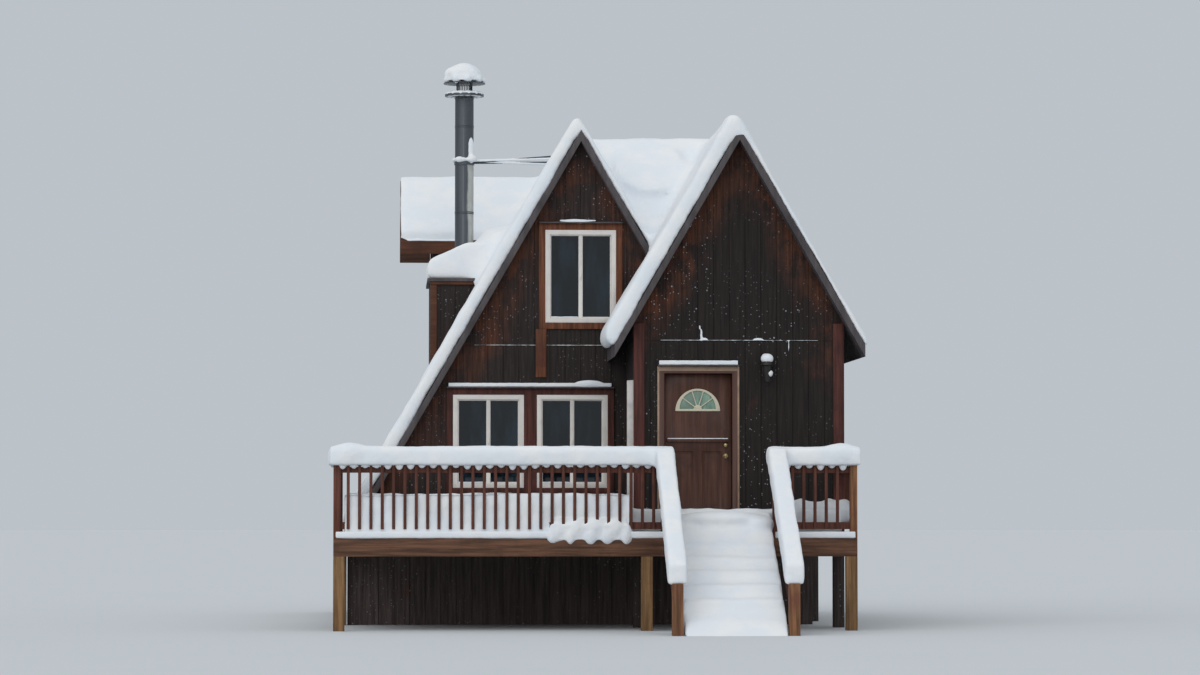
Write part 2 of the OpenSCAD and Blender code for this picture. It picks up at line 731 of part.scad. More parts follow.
// Three butt hinges on the room side. Their axis stands over the middle of the gap
knuckle_d = 16;
pin_d = 8;
pin_clear = 0.05;
knuckle_h = 36;
knuckle_gap = 0.5;
hinge_plate_t = 3;
hinge_plate_w = 42;
hinge_axis_x = leaf_l - door_gap / 2;
hinge_axis_y = leaf_back_y + knuckle_d / 2;
hinge_places = [220, door_h / 2, door_h - 220];
module at_hinges() {
    for (h = hinge_places) translate([hinge_axis_x, hinge_axis_y, leaf_foot_h + h]) children();
}
module door_hinges() color(roof_edge) at_hinges() {
    cylinder(h = 3 * knuckle_h, d = pin_d, center = true);
    for (side = [-1, 1]) translate([0, 0, side * knuckle_h]) {
        cylinder(h = knuckle_h, d = knuckle_d, center = true);
        block([-hinge_plate_w, -knuckle_d / 2, -knuckle_h / 2],
              [-door_gap / 2, hinge_plate_t - knuckle_d / 2, knuckle_h / 2]);
    }
}
module door_hinge_leaves() color(roof_edge) at_hinges() difference() {
    union() {
        cylinder(h = knuckle_h - 2 * knuckle_gap, d = knuckle_d, center = true);
        block([door_gap / 2, -knuckle_d / 2, knuckle_gap - knuckle_h / 2],
              [hinge_plate_w, hinge_plate_t - knuckle_d / 2, knuckle_h / 2 - knuckle_gap]);
    }
    cylinder(h = 2 * knuckle_h, d = pin_d + 2 * pin_clear, center = true);
}

// Raised and sunk panels of the leaf, below the ledge
panel_edge = 120;
panel_sink = 10;
ledge_h = 1110;
ledge_out = 24;
ledge_t = 40;
ledge_in = 30;
module half_flat(r) intersection() {
    circle(r);
    translate([-r, 0]) square([2 * r, r]);
}
// Runs a flat drawing round the foot of the light from one depth to another
module at_fanlight(y0, y1) {
    translate([door_x, y1, leaf_foot_h + fan_h]) rotate([90, 0, 0])
        linear_extrude(y1 - y0) children();
}
leaf_front_y = leaf_back_y - door_t;
fan_hole_r = fan_w / 2 - fan_bar;
module door_leaf() color(red_brown) difference() {
    union() {
        block([leaf_l, leaf_front_y, leaf_foot_h], [leaf_r, leaf_back_y, leaf_foot_h + door_h]);
        block([leaf_l + ledge_in, leaf_front_y - ledge_out, leaf_foot_h + ledge_h],
              [leaf_r - ledge_in, leaf_front_y, leaf_foot_h + ledge_h + ledge_t]);
    }
    block([leaf_l + panel_edge, leaf_front_y - 1, leaf_foot_h + 2 * panel_edge],
          [door_x - panel_edge / 2, leaf_front_y + panel_sink, leaf_foot_h + ledge_h - panel_edge]);
    block([door_x + panel_edge / 2, leaf_front_y - 1, leaf_foot_h + 2 * panel_edge],
          [leaf_r - panel_edge, leaf_front_y + panel_sink, leaf_foot_h + ledge_h - panel_edge]);
    at_fanlight(leaf_front_y - spare, leaf_back_y + spare) half_flat(fan_hole_r);
}

// Frame, hub and rays of the half-round light, planted on the leaf
fan_out = 14;
ray_w = 12;
fan_hub_r = 52;
module fan_panes() translate([0, fan_bar]) difference() {
    half_flat(fan_hole_r - fan_bar);
    circle(fan_hub_r);
    for (tilt = [-54, -18, 18, 54])
        rotate(tilt) translate([-ray_w / 2, 0]) square([ray_w, fan_w / 2]);
}
module door_fanlight() color([0.8, 0.76, 0.65]) difference() {
    at_fanlight(leaf_front_y - fan_out, leaf_front_y) half_flat(fan_w / 2);
    at_fanlight(leaf_front_y - fan_out - spare, leaf_front_y + spare) fan_panes();
}
module door_glass() color([0.5, 0.62, 0.58, 0.8])
    at_fanlight(leaf_front_y, leaf_front_y + glass_t) half_flat(fan_hole_r - fit_gap);

knob_h = 930;
bolt_h = 1070;
knob_in = 70;
knob_outline = [[0, 0], [32, 0], [32, 6], [14, 10], [12, 30], [22, 36], [27, 46], [24, 58], [0, 64]];
bolt_outline = [[0, 0], [27, 0], [27, 12], [20, 18], [0, 18]];
module door_knob() color([0.55, 0.5, 0.4]) for (side = [-1, 1])
    translate([leaf_r - knob_in, side < 0 ? leaf_front_y : leaf_back_y, leaf_foot_h]) {
        translate([0, 0, knob_h]) rotate([side * -90, 0, 0]) rotate_extrude() polygon(knob_outline);
        translate([0, 0, bolt_h]) rotate([side * -90, 0, 0]) rotate_extrude() polygon(bolt_outline);
    }

light_x = 2300;
light_h = 3120;
module porch_light() color([0.2, 0.18, 0.17]) translate([light_x, -entry_out, light_h]) {
    block([-55, -20, 120], [55, 0, 330]);
    block([-15, -130, 290], [15, 0, 320]);
    translate([0, -130, 0]) rotate_extrude() polygon([[0, 0], [35, 10], [62, 210], [90, 225],
        [30, 330], [12, 350], [0, 350]]);
}

// Posts under the wing and the deck

module post(x, y, top) {
    block([x, y, 0], [x + post_w, y + post_w, top]);
}
module house_posts() color(dark_siding) {
    for (y = [-entry_out, (entry_back - entry_out - post_w) / 2, entry_back - post_w])
        post(entry_r - post_w, y, platform_h);
    post(entry_l, -entry_out, platform_h);
}

rim_low_h = deck_h - rim_h;
joist_top_h = deck_h - deck_board_t;
mid_post_x = 610;
module deck_posts() color(post_tan) {
    for (x = [-deck_left, mid_post_x, entry_r - post_w]) post(x, -deck_out, rim_low_h);
    post(-deck_left, -skirt_lap - post_w, rim_low_h);
}

module joists(x0, x1, y0, y1) {
    count = floor((x1 - x0 - lumber_t) / joist_pitch);
    for (k = [0 : count])
        block([x0 + k * joist_pitch, y0, rim_low_h],
              [x0 + k * joist_pitch + lumber_t, y1, joist_top_h]);
    block([x1 - lumber_t, y0, rim_low_h], [x1, y1, joist_top_h]);
    block([x0, y1 - lumber_t, rim_low_h], [x1, y1, joist_top_h]);
}
// Gap between the deck's lumber and the entry wing
wing_gap = 5;
module deck_joists() color(rim_brown) {
    joists(lumber_t - deck_left, entry_l - wing_gap, lumber_t - deck_out, -skirt_lap);
    joists(entry_l + wing_gap, entry_r - lumber_t, lumber_t - deck_out, -entry_out - wing_gap);
}
module deck_rim() color(rim_brown) difference() {
    block([-deck_left, -deck_out, rim_low_h], [entry_r, -skirt_lap, deck_h]);
    block([lumber_t - deck_left, lumber_t - deck_out, rim_low_h - spare],
          [entry_r - lumber_t, spare, deck_h + spare]);
    block([entry_l, -entry_out, rim_low_h - spare], [entry_r + spare, spare, deck_h + spare]);
}
module deck_boards() color(rim_brown) {
    block([lumber_t - deck_left, lumber_t - deck_out, joist_top_h],
          [entry_l - wing_gap, -skirt_lap, deck_h]);
    block([entry_l, lumber_t - deck_out, joist_top_h], [entry_r - lumber_t, -entry_out, deck_h]);
}

// One straight railing of a length, drawn along X from the origin, its balusters at -Y

rail_top_h = rail_h - baluster_over;
module railing(len, posts) {
    for (x = posts) block([x, 0, 0], [x + rail_post_w, rail_post_w, rail_h]);
    block([0, baluster_w, rail_gap], [len, baluster_w + lumber_t, rail_gap + bottom_rail_h]);
    block([0, baluster_w, rail_top_h - top_rail_h], [len, baluster_w + lumber_t, rail_top_h]);
    count = floor((len - 2 * rail_post_w - baluster_w) / baluster_pitch);
    start = (len - (count - 1) * baluster_pitch - baluster_w) / 2;
    for (k = [0 : count - 1])
        translate([start + k * baluster_pitch, 0, 0])
            run_right(0, baluster_w, [[0, rail_gap], [baluster_w, rail_gap],
                [baluster_w, rail_h], [0, rail_h - baluster_w / 2]]);
}
rail_left_len = stair_left + deck_left + rail_post_w / 2;
rail_right_len = entry_r - stair_right + rail_post_w / 2;
module rail_front_left() color(red_brown) translate([-deck_left, -deck_out, deck_h])
    railing(rail_left_len, [0, rail_left_len - rail_post_w]);
module rail_front_right() color(red_brown)
    translate([stair_right - rail_post_w / 2, -deck_out, deck_h])
        railing(rail_right_len, [0, rail_right_len - rail_post_w]);
// Gaps of the side railings: to the front railings, to the corner boards and to the rake boards
rail_fit = 5;
rake_gap = 100;
side_len_left = deck_out - rail_post_w - main_overhang - rake_t - rake_gap;
side_len_right = deck_out - rail_post_w - entry_out - trim_t - rail_fit;
module rail_sides() color(red_brown) {
    translate([-deck_left, -main_overhang - rake_t - rake_gap, deck_h]) rotate(-90)
        railing(side_len_left - rail_fit, [0]);
    translate([entry_r, rail_post_w - deck_out + rail_fit, deck_h]) rotate(90)
        railing(side_len_right - rail_fit, []);
}

// Stair

riser = deck_h / risers;
stair_in_l = stair_left + newel_w / 2;
stair_in_r = stair_right - newel_w / 2;
// Outline of one closed stringer along the stair
stringer_slope = riser / going;
stringer_head = 20;
stringer_toe = 40;
stringer_over = 30;
stringer_foot = (risers - 1) * going + stringer_toe;
module stringer_outline(x0, x1) {
    run_right(x0, x1, [[-deck_out, rim_low_h], [-deck_out, deck_h],
        [-deck_out - stringer_head, deck_h],
        [-deck_out - stringer_foot, deck_h + stringer_over - stringer_foot * stringer_slope],
        [-deck_out - stringer_foot, 0], [-deck_out - stringer_foot + stringer_h / stringer_slope, 0],
        [-deck_out, deck_h - stringer_h]]);
}
module stair_stringers() color(rim_brown) {
    stringer_outline(stair_in_l, stair_in_l + lumber_t);
    stringer_outline(stair_in_r - lumber_t, stair_in_r);
}
module stair_treads() color(rim_brown) for (k = [1 : risers - 1])
    block([stair_in_l + lumber_t, -deck_out - k * going - nosing, deck_h - k * riser - tread_t],
          [stair_in_r - lumber_t, -deck_out - (k - 1) * going, deck_h - k * riser]);

// Sloping rails from the deck posts down to the newels
newel_y = -deck_out - risers * going;
rail_fall = (rail_h + deck_h - newel_h) / (risers * going);
function stair_band(top, low) = [[-deck_out, deck_h + rail_h - top],
    [-deck_out, deck_h + rail_h - low], [newel_y, newel_h - low], [newel_y, newel_h - top]];
stair_bottom = 520;
module stair_rail(x) {
    block([x - newel_w / 2, newel_y - newel_w, 0], [x + newel_w / 2, newel_y, newel_h]);
    run_right(x - lumber_t / 2, x + lumber_t / 2, stair_band(baluster_over, baluster_over + 90));
    run_right(x - lumber_t / 2, x + lumber_t / 2, stair_band(stair_bottom, stair_bottom + 90));
    for (k = [1 : floor(risers * going / baluster_pitch) - 1])
        let (y = -deck_out - k * baluster_pitch - 20, z = deck_h + rail_h + (y + deck_out) * rail_fall)
            block([x - baluster_w / 2, y, z - stair_bottom - 90], [x + baluster_w / 2, y + baluster_w, z]);
}
module stair_rails() color(red_brown) {
    stair_rail(stair_left);
    stair_rail(stair_right);
}

// Snow

main_ridge = [0, main_ridge_h];
entry_ridge = [entry_ridge_x, entry_ridge_h];
// Length of the main slopes, and of the entry slopes
main_fall = foot_x / cos(roof_pitch);
entry_fall = (entry_w / 2 + entry_eave) / cos(roof_pitch);
// Outline of the snow on one slope, its underside a little above the boards or at another height
function snow_outline(ridge, side, fall, depth, base = seam) =
    let (ridge_out = (depth / cos(roof_pitch) - snow_ridge) / steep)
    rounded([ridge + [0, base / cos(roof_pitch)], on_slope(ridge, side, fall, base, roof_pitch),
        on_slope(ridge, side, fall, depth, roof_pitch),
        ridge + [side * max(ridge_out, 1), snow_ridge], ridge + [0, snow_ridge]],
        [0, 0, depth * 0.5, ridge_out > 20 ? 80 : 0, 0]);
snow_back = main_len + main_overhang;
// How far the snow on the main slopes stops above the roof feet, measured along the slope
snow_foot = 250;
module main_snow(side, depth, base = seam) {
    run_back(-main_overhang, snow_back,
        snow_outline(main_ridge, side, main_fall - snow_foot, depth, base));
}
module snow_main_roof() color(snow_white) {
    difference() {
        main_snow(-1, snow_left);
        block([-dormer_f_out - dormer_f_eave, dormer_f_y - dormer_f_eave, 0],
              [0, dormer_f_y + dormer_f_len + dormer_f_eave, dormer_f_h]);
        front_dormer_snow();
        run_right(-dormer_snow_out, 0, concat(rear_dormer_snow_top,
            [[dormer_r_y + dormer_r_half, 0], [dormer_r_y - dormer_r_half, 0]]));
        brace_rods(rod_d + 4);
    }
    difference() {
        main_snow(1, snow_right);
        block([valley_x, -spare - main_overhang, 0],
              [foot_x + reach, entry_back + entry_overhang + rake_t, valley_h + reach]);
        saddle_roof();
    }
}
module snow_entry_roof() color(snow_white) {
    difference() {
        run_back(-entry_out - entry_overhang, entry_back + entry_overhang,
            snow_outline(entry_ridge, -1, entry_fall, snow_entry));
        block([0, -main_overhang - rake_t, 0], [valley_x, main_len, main_ridge_h + reach]);
        saddle_roof();
        run_back(entry_back - wall_t, main_len, main_outline);
    }
    run_back(-entry_out - entry_overhang, entry_back + entry_overhang,
        snow_outline(entry_ridge, 1, entry_fall, snow_right));
}
module snow_saddle() color(snow_white) difference() {
    intersection() {
        saddle_gable(snow_saddle_t);
        valley_region(snow_ridge);
    }
    saddle_gable(2 * seam_up);
    main_snow(1, snow_right + seam, -spare);
    run_back(-entry_out, main_len,
        snow_outline(entry_ridge, -1, entry_fall, snow_entry + seam, -spare));
}

dormer_snow_out = dormer_r_out + dormer_r_over;
rear_dormer_snow_top = rounded(
    [[dormer_r_y - dormer_r_half, dormer_r_eave_h],
     [dormer_r_y - dormer_r_half, dormer_r_eave_h + snow_dormer],
     [dormer_r_y, dormer_r_ridge_h + snow_dormer],
     [dormer_r_y + dormer_r_half, dormer_r_eave_h + snow_dormer],
     [dormer_r_y + dormer_r_half, dormer_r_eave_h]], [0, 60, 200, 60, 0]);
// The drift on the front dormer: its depth at the outer edge, and where it meets the slope's snow
drift_low = 270;
drift_high = 520;
drift_in = 520;
module front_dormer_snow() intersection() {
    run_back(dormer_f_y - dormer_f_eave, dormer_f_y + dormer_f_len + dormer_f_eave, rounded(
        [[-dormer_f_out - dormer_f_eave, dormer_f_h],
         [-dormer_f_out - dormer_f_eave, dormer_f_h + drift_low],
         [drift_in - dormer_f_out, dormer_f_h + drift_high],
         [-main_outer(dormer_f_h + drift_high), dormer_f_h + drift_high],
         [-main_outer(dormer_f_h), dormer_f_h]],
        [0, 120, 200, 0, 0]));
    outside_left_slope(reach);
}
module snow_dormers() color(snow_white) {
    intersection() {
        run_right(-dormer_snow_out, 0, concat(rear_dormer_snow_top, [[dormer_r_y, dormer_r_ridge_h]]));
        outside_left_slope(reach);
    }
    difference() {
        front_dormer_snow();
        translate([-pipe_x, pipe_y, 0]) cylinder(h = main_ridge_h, d = flashing_d + 2 * fit_gap);
    }
}

module snow_chimney() color(snow_white)
    translate([-pipe_x, pipe_y, pipe_top_h + plate_t + cap_gap + cap_rise]) rotate_extrude()
        polygon(concat([[0, 0]],
            [for (a = [0 : 15 : 90]) [(cap_d / 2 - 5) * cos(a), snow_cap * sin(a)]]));

function cap_section(w, h) = rounded([[-w / 2, 0], [w / 2, 0], [w / 2, h], [-w / 2, h]],
    [0, 0, h * 0.4, h * 0.4]);
rail_top = deck_h + rail_h;
// How far the snow hangs out past the ends of the railings
rail_snow_end = 60;
side_snow_y = rail_post_w / 2 - deck_out + snow_rail_w / 2;
module snow_rails() color(snow_white) {
    translate([0, rail_post_w / 2 - deck_out, rail_top]) {
        run_right(-deck_left - rail_snow_end, stair_left + snow_rail_w / 2,
            cap_section(snow_rail_w, snow_rail));
        run_right(stair_right - snow_rail_w / 2, entry_r + rail_snow_end,
            cap_section(snow_rail_w, snow_rail));
    }
    translate([rail_post_w / 2 - deck_left, 0, rail_top])
        run_back(side_snow_y, -main_overhang - rake_t - rake_gap, cap_section(snow_rail_w, snow_rail));
    translate([entry_r - rail_post_w / 2, 0, rail_top])
        run_back(side_snow_y, -entry_out - trim_t - 20, cap_section(snow_rail_w, snow_rail));
    for (x = [stair_left, stair_right])
        run_right(x - snow_rail_w / 2, x + snow_rail_w / 2, [
            [rail_post_w / 2 - deck_out - snow_rail_w / 2, rail_top],
            [rail_post_w / 2 - deck_out - snow_rail_w / 2, rail_top + snow_rail],
            [newel_y - newel_w, newel_h + snow_rail], [newel_y - newel_w, newel_h],
            [newel_y, newel_h], [-deck_out, rail_top]]);
}

// Clear space between the snow on the deck and the walls and railings
snow_clear = 60;
path_crest = 390;
path_low = 160;
path_edge = snow_stair_t + 90;
path_crest_out = 450;
module snow_deck() color(snow_white) {
    run_right(rail_post_w + snow_clear - deck_left, entry_l - strip_w - snow_clear, rounded(
        [[rail_post_w + snow_clear - deck_out, deck_h],
         [-main_overhang - rake_t - snow_clear, deck_h],
         [-main_overhang - rake_t - snow_clear, deck_h + snow_deck_t],
         [rail_post_w + snow_clear - deck_out, deck_h + snow_deck_t]], [0, 0, 100, 100]));
    run_right(entry_l - strip_w - snow_clear, entry_r - rail_post_w - snow_clear, rounded(
        [[rail_post_w + snow_clear - deck_out, deck_h], [-entry_out - snow_clear, deck_h],
         [-entry_out - snow_clear, deck_h + path_low],
         [path_crest_out - deck_out, deck_h + path_crest],
         [rail_post_w + snow_clear - deck_out, deck_h + path_crest]], [0, 0, 50, 100, 50]));
    run_right(stair_in_l, stair_in_r, [[-deck_out, deck_h], [path_crest_out - deck_out, deck_h],
        [path_crest_out - deck_out, deck_h + path_crest], [-deck_out, deck_h + path_edge]]);
}

module snow_stairs() color(snow_white) difference() {
    run_right(stair_in_l, stair_in_r, rounded([[-deck_out, deck_h],
        [-deck_out, deck_h + path_edge],
        [newel_y - 40, snow_stair_t - 60], [newel_y - 240, 0], [-deck_out - 200, 0]],
        [0, 0, 100, 0, 0]));
    stair_stringers();
    hull() stair_treads();
}

skirt_ends();
skirt_sides();
main_floor();
entry_floor();
loft_floor();
front_wall();
back_wall();
entry_front_left();
entry_front_right();
entry_gable();
entry_side_left();
entry_side_right();
entry_back_wall();
main_roof_left();
main_roof_right();
entry_roof_left();
entry_roof_right();
saddle_roof();
rear_dormer_walls();
rear_dormer_roof();
front_dormer_walls();
front_dormer_roof();
rake_boards();
corner_boards();
window_frames();
window_glass();
window_trim();
drip_caps();
chimney_pipe();
chimney_cap();
chimney_braces();
door_frame();
door_hinges();
door_leaf();
door_hinge_leaves();
door_fanlight();
door_glass();
door_knob();
porch_light();
house_posts();
deck_posts();
deck_joists();
deck_rim();
deck_boards();
rail_front_left();
rail_front_right();
rail_sides();
stair_stringers();
stair_treads();
stair_rails();
snow_main_roof();
snow_entry_roof();
snow_saddle();
snow_dormers();
snow_chimney();
snow_rails();
snow_deck();
snow_stairs();
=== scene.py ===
"""Looks of a snow-covered chalet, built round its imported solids.

Metres throughout. The front faces -Y, +X is to the right and the ground is at z = 0.
"""

import math

import bmesh
import bpy
from bpy.props import FloatProperty, FloatVectorProperty, IntProperty, PointerProperty
from mathutils import Matrix, Vector, noise


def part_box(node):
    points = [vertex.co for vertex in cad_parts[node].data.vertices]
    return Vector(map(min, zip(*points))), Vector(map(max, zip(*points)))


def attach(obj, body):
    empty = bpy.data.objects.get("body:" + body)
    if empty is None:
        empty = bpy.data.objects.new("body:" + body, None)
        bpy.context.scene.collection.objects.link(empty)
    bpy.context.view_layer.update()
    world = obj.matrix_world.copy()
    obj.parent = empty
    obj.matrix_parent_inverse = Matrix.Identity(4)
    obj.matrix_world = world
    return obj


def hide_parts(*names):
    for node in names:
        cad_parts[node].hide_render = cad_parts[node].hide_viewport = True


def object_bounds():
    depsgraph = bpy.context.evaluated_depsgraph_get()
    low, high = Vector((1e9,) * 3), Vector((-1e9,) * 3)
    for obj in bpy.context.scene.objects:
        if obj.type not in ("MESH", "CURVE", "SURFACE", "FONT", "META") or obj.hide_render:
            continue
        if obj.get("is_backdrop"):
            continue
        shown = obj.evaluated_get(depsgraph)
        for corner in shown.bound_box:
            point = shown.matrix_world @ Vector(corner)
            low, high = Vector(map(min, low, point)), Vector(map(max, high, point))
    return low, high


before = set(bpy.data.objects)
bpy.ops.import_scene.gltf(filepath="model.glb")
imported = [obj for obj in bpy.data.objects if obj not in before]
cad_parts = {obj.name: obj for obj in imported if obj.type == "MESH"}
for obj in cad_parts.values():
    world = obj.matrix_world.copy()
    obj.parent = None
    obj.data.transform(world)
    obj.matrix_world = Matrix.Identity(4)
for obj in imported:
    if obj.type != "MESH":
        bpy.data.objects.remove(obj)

bl_info = {
    "name": "Snow-covered chalet",
    "version": (1, 0, 0),
    "blender": (4, 5, 0),
    "location": "3D View > Sidebar > Chalet",
    "description": "Dresses the chalet's solids in grooved siding, stained boards, glass and snow",
    "category": "Object",
}

CAD_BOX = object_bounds()

# Roof ridges, as (x, z), and the pitch that both roofs share
MAIN_RIDGE = (0.0, 6.49)
ENTRY_RIDGE = (1.95, 6.37)
PITCH = math.radians(60)
DECK_TOP = 1.15
RAIL_TOP = 2.06
GROUND = 0.0

# Height of the band that clamps the chimney's braces
BAND_Z = 6.275


# Values that a user may change


def length(name, default, description):
    return FloatProperty(name=name, default=default, description=description, min=0.0,
                         subtype="DISTANCE", unit="LENGTH")


def number(name, default, description):
    return FloatProperty(name=name, default=default, description=description, min=0.0)


def colour(name, default):
    return FloatVectorProperty(name=name, default=default, subtype="COLOR", size=3, min=0.0,
                               max=1.0, description=f"Colour of the {name.lower()}")


class ChaletSizes(bpy.types.PropertyGroup):
    """Sizes of the details that the solids leave out"""

    groove_pitch: length("Groove spacing", 0.2032, "Distance between grooves")
    groove_width: length("Groove width", 0.012, "Width of each groove")
    groove_depth: length("Groove depth", 0.009, "Depth of each groove")
    joint_height: length("Joint height", 3.66, "Height of the joint in the siding")
    board_width: length("Deck board width", 0.14, "Width of a deck board")
    board_gap: length("Deck board gap", 0.006, "Gap between deck boards")
    edge_round: length("Edge rounding", 0.004, "Rounding of boards and posts")
    baluster_pitch: length("Baluster spacing", 0.14, "Distance between balusters")
    baluster_width: length("Baluster width", 0.038, "Width of a baluster")
    rail_post: length("Rail post width", 0.09, "Width of the railing posts")


class ChaletSnow(bpy.types.PropertyGroup):
    """How the snow lies"""

    roof_grid: length("Roof snow grid", 0.058, "Mesh size of the roof snow")
    roof_bed: length("Roof snow bed", 0.05, "How deep the roof snow is let in")
    lip: length("Snow lip", 0.055, "How far the snow curls over")
    fine_grid: length("Fine snow grid", 0.02, "Mesh size of the rail snow")
    drift_size: length("Drift size", 0.9, "Width of the soft waves")
    drift_depth: length("Drift depth", 0.055, "Depth of the soft waves")
    tooth_drop: length("Tooth drop", 0.07, "Sag between the balusters")
    smooth_passes: IntProperty(name="Softness", default=8, min=0, max=40,
                               description="Smoothing passes that round the snow's edges")


class ChaletColours(bpy.types.PropertyGroup):
    """Colours of the finishes"""

    siding: colour("Siding", (0.024, 0.018, 0.017))
    siding_worn: colour("Worn siding", (0.090, 0.032, 0.017))
    trim: colour("Trim", (0.145, 0.050, 0.023))
    trim_dark: colour("Dark trim", (0.060, 0.018, 0.014))
    roof_edge: colour("Roof edge", (0.084, 0.074, 0.078))
    post: colour("Posts", (0.21, 0.115, 0.050))
    rim: colour("Deck rim", (0.120, 0.056, 0.032))
    rail: colour("Railing", (0.105, 0.034, 0.022))
    door: colour("Door", (0.082, 0.032, 0.021))
    casing: colour("Door casing", (0.33, 0.22, 0.15))
    fan_frame: colour("Fanlight frame", (0.56, 0.52, 0.40))
    fan_glass: colour("Fanlight glass", (0.16, 0.26, 0.20))
    window: colour("Window frames", (0.68, 0.65, 0.62))
    # Nearly black: painted shade of the unlit rooms behind the panes
    glass: colour("Window glass", (0.004, 0.008, 0.011))
    pipe: colour("Flue pipe", (0.105, 0.117, 0.130))
    lantern: colour("Porch light", (0.020, 0.018, 0.016))
    brass: colour("Door furniture", (0.42, 0.32, 0.16))
    snow: colour("Snow", (0.77, 0.79, 0.81))


class ChaletStage(bpy.types.PropertyGroup):
    """Floor, light and camera"""

    floor: colour("Floor", (0.60, 0.63, 0.66))
    backdrop: colour("Backdrop", (0.50, 0.54, 0.58))
    sky_strength: number("Sky strength", 0.66, "Strength of the light from all round")
    lamp_strength: number("Lamp strength", 1.25, "Strength of the soft lamp")
    lens: number("Lens", 119.0, "Focal length in mm")


def settings():
    scene = bpy.context.scene
    return scene.chalet_sizes, scene.chalet_snow, scene.chalet_colours, scene.chalet_stage


# Modelling steps


def deselect():
    if bpy.context.object and bpy.context.object.mode != "OBJECT":
        bpy.ops.object.mode_set(mode="OBJECT")
    bpy.ops.object.select_all(action="DESELECT")


def pick(*objects):
    deselect()
    for obj in objects:
        obj.select_set(True)
    bpy.context.view_layer.objects.active = objects[0]
    return objects[0]


def primitive(add, scale=(1, 1, 1), **values):
    """Adds one primitive and applies its place, its turn and its scale"""
    deselect()
    add(**values)
    obj = bpy.context.object
    obj.scale = scale
    bpy.ops.object.transform_apply(location=True, rotation=True, scale=True)
    return obj


def block(low, high):
    """A cube stretched between two corners"""
    low, high = Vector(low), Vector(high)
    return primitive(bpy.ops.mesh.primitive_cube_add, high - low, size=1,
                     location=(low + high) / 2)


def join(objects, name):
    obj = pick(*objects)
    if len(objects) > 1:
        bpy.ops.object.join()
    obj.name = name
    return obj


def own_mesh(obj, name):
    """A copy with its own mesh"""
    new = bpy.data.objects.new(name, obj.data.copy())
    bpy.context.collection.objects.link(new)
    return new


def shifted(obj, *move):
    new = own_mesh(obj, obj.name)
    new.data.transform(Matrix.Translation(move))
    return new


def modify(obj, kind, **values):
    """Adds one modifier and applies it"""
    pick(obj)
    modifier = obj.modifiers.new(kind.lower(), kind)
    for key, value in values.items():
        setattr(modifier, key, value)
    bpy.ops.object.modifier_apply(modifier=modifier.name)
    return obj


def array(obj, count, step):
    return modify(obj, "ARRAY", count=count, use_relative_offset=False,
                  use_constant_offset=True, constant_offset_displace=step)


def cut(obj, cutter):
    modify(obj, "BOOLEAN", operation="DIFFERENCE", solver="EXACT", object=cutter)
    bpy.data.objects.remove(cutter)
    return obj


def edit(obj, action="SELECT"):
    """Opens a mesh for editing, with all or nothing of it selected"""
    pick(obj)
    bpy.ops.object.mode_set(mode="EDIT")
    bpy.ops.mesh.select_all(action=action)


def solid_copy(node, name):
    """The mesh of a CAD node as a piece of its own, with its corners merged and its flats whole"""
    obj = own_mesh(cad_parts[node], name)
    edit(obj)
    bpy.ops.mesh.remove_doubles(threshold=0.0003)
    bpy.ops.mesh.dissolve_limited(angle_limit=math.radians(0.5))
    bpy.ops.object.mode_set(mode="OBJECT")
    return obj


def round_edges(obj, width, segments=2):
    modify(obj, "BEVEL", width=width, segments=segments, limit_method="ANGLE",
           angle_limit=math.radians(35))
    return shade(obj)


def shade(obj, angle=40):
    pick(obj)
    bpy.ops.object.shade_smooth_by_angle(angle=math.radians(angle))
    return obj


def wear(obj, skin, slot, *nodes, body="house"):
    """Gives a piece its finish and its body, and hides the solids that it stands for"""
    obj.data.materials.clear()
    obj.data.materials.append(finish(skin))
    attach(obj, body)
    if nodes:
        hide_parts(*nodes)
    return obj


def dress(node, name, skin, slot, width=0.0, segments=2, angle=40, body="house"):
    """A CAD node as a piece with its finish; a width rounds its edges"""
    piece = solid_copy(node, name)
    if width:
        round_edges(piece, width, segments)
    else:
        shade(piece, angle)
    return wear(piece, skin, slot, node, body=body)


def second_finish(obj, name, chosen):
    """Gives the faces whose middle passes a test another finish"""
    obj.data.materials.append(finish(name))
    for face in obj.data.polygons:
        if chosen(face.center):
            face.material_index = len(obj.data.materials) - 1


def islands(node):
    """The boxes of a node's separate solids, as (low, high), from left to right"""
    mesh = bmesh.new()
    mesh.from_mesh(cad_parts[node].data)
    bmesh.ops.remove_doubles(mesh, verts=mesh.verts, dist=0.0003)
    found, seen = [], set()
    for start in mesh.verts:
        if start in seen:
            continue
        island, edge = {start}, [start]
        while edge:
            near = {v for link in edge.pop().link_edges for v in link.verts} - island
            island |= near
            edge += near
        seen |= island
        places = [v.co for v in island]
        found.append((Vector(min(p[i] for p in places) for i in range(3)),
                      Vector(max(p[i] for p in places) for i in range(3))))
    mesh.free()
    return sorted(found, key=lambda box: [round(x, 3) for x in (*box[0], *box[1])])


# Finishes


class Nodes:
    """Adds linked nodes to a tree"""

    def __init__(self, tree):
        self.tree = tree

    def fill(self, socket, value):
        """Links a socket to another one, or gives it a value; colours become opaque"""
        if isinstance(value, bpy.types.NodeSocket):
            self.tree.links.new(value, socket)
        elif hasattr(value, "__len__") and len(socket.default_value) == 4:
            socket.default_value = (*value[:3], 1.0)
        else:
            socket.default_value = value

    def add(self, kind, inputs=(), **settings):
        node = self.tree.nodes.new(kind)
        for key, value in settings.items():
            setattr(node, key, value)
        for key, value in dict(inputs).items():
            self.fill(node.inputs[key], value)
        return node

    def math(self, operation, a, b, clamp=False):
        node = self.add("ShaderNodeMath", {0: a, 1: b}, operation=operation, use_clamp=clamp)
        return node.outputs[0]

    def times(self, a, b):
        return self.math("MULTIPLY", a, b)


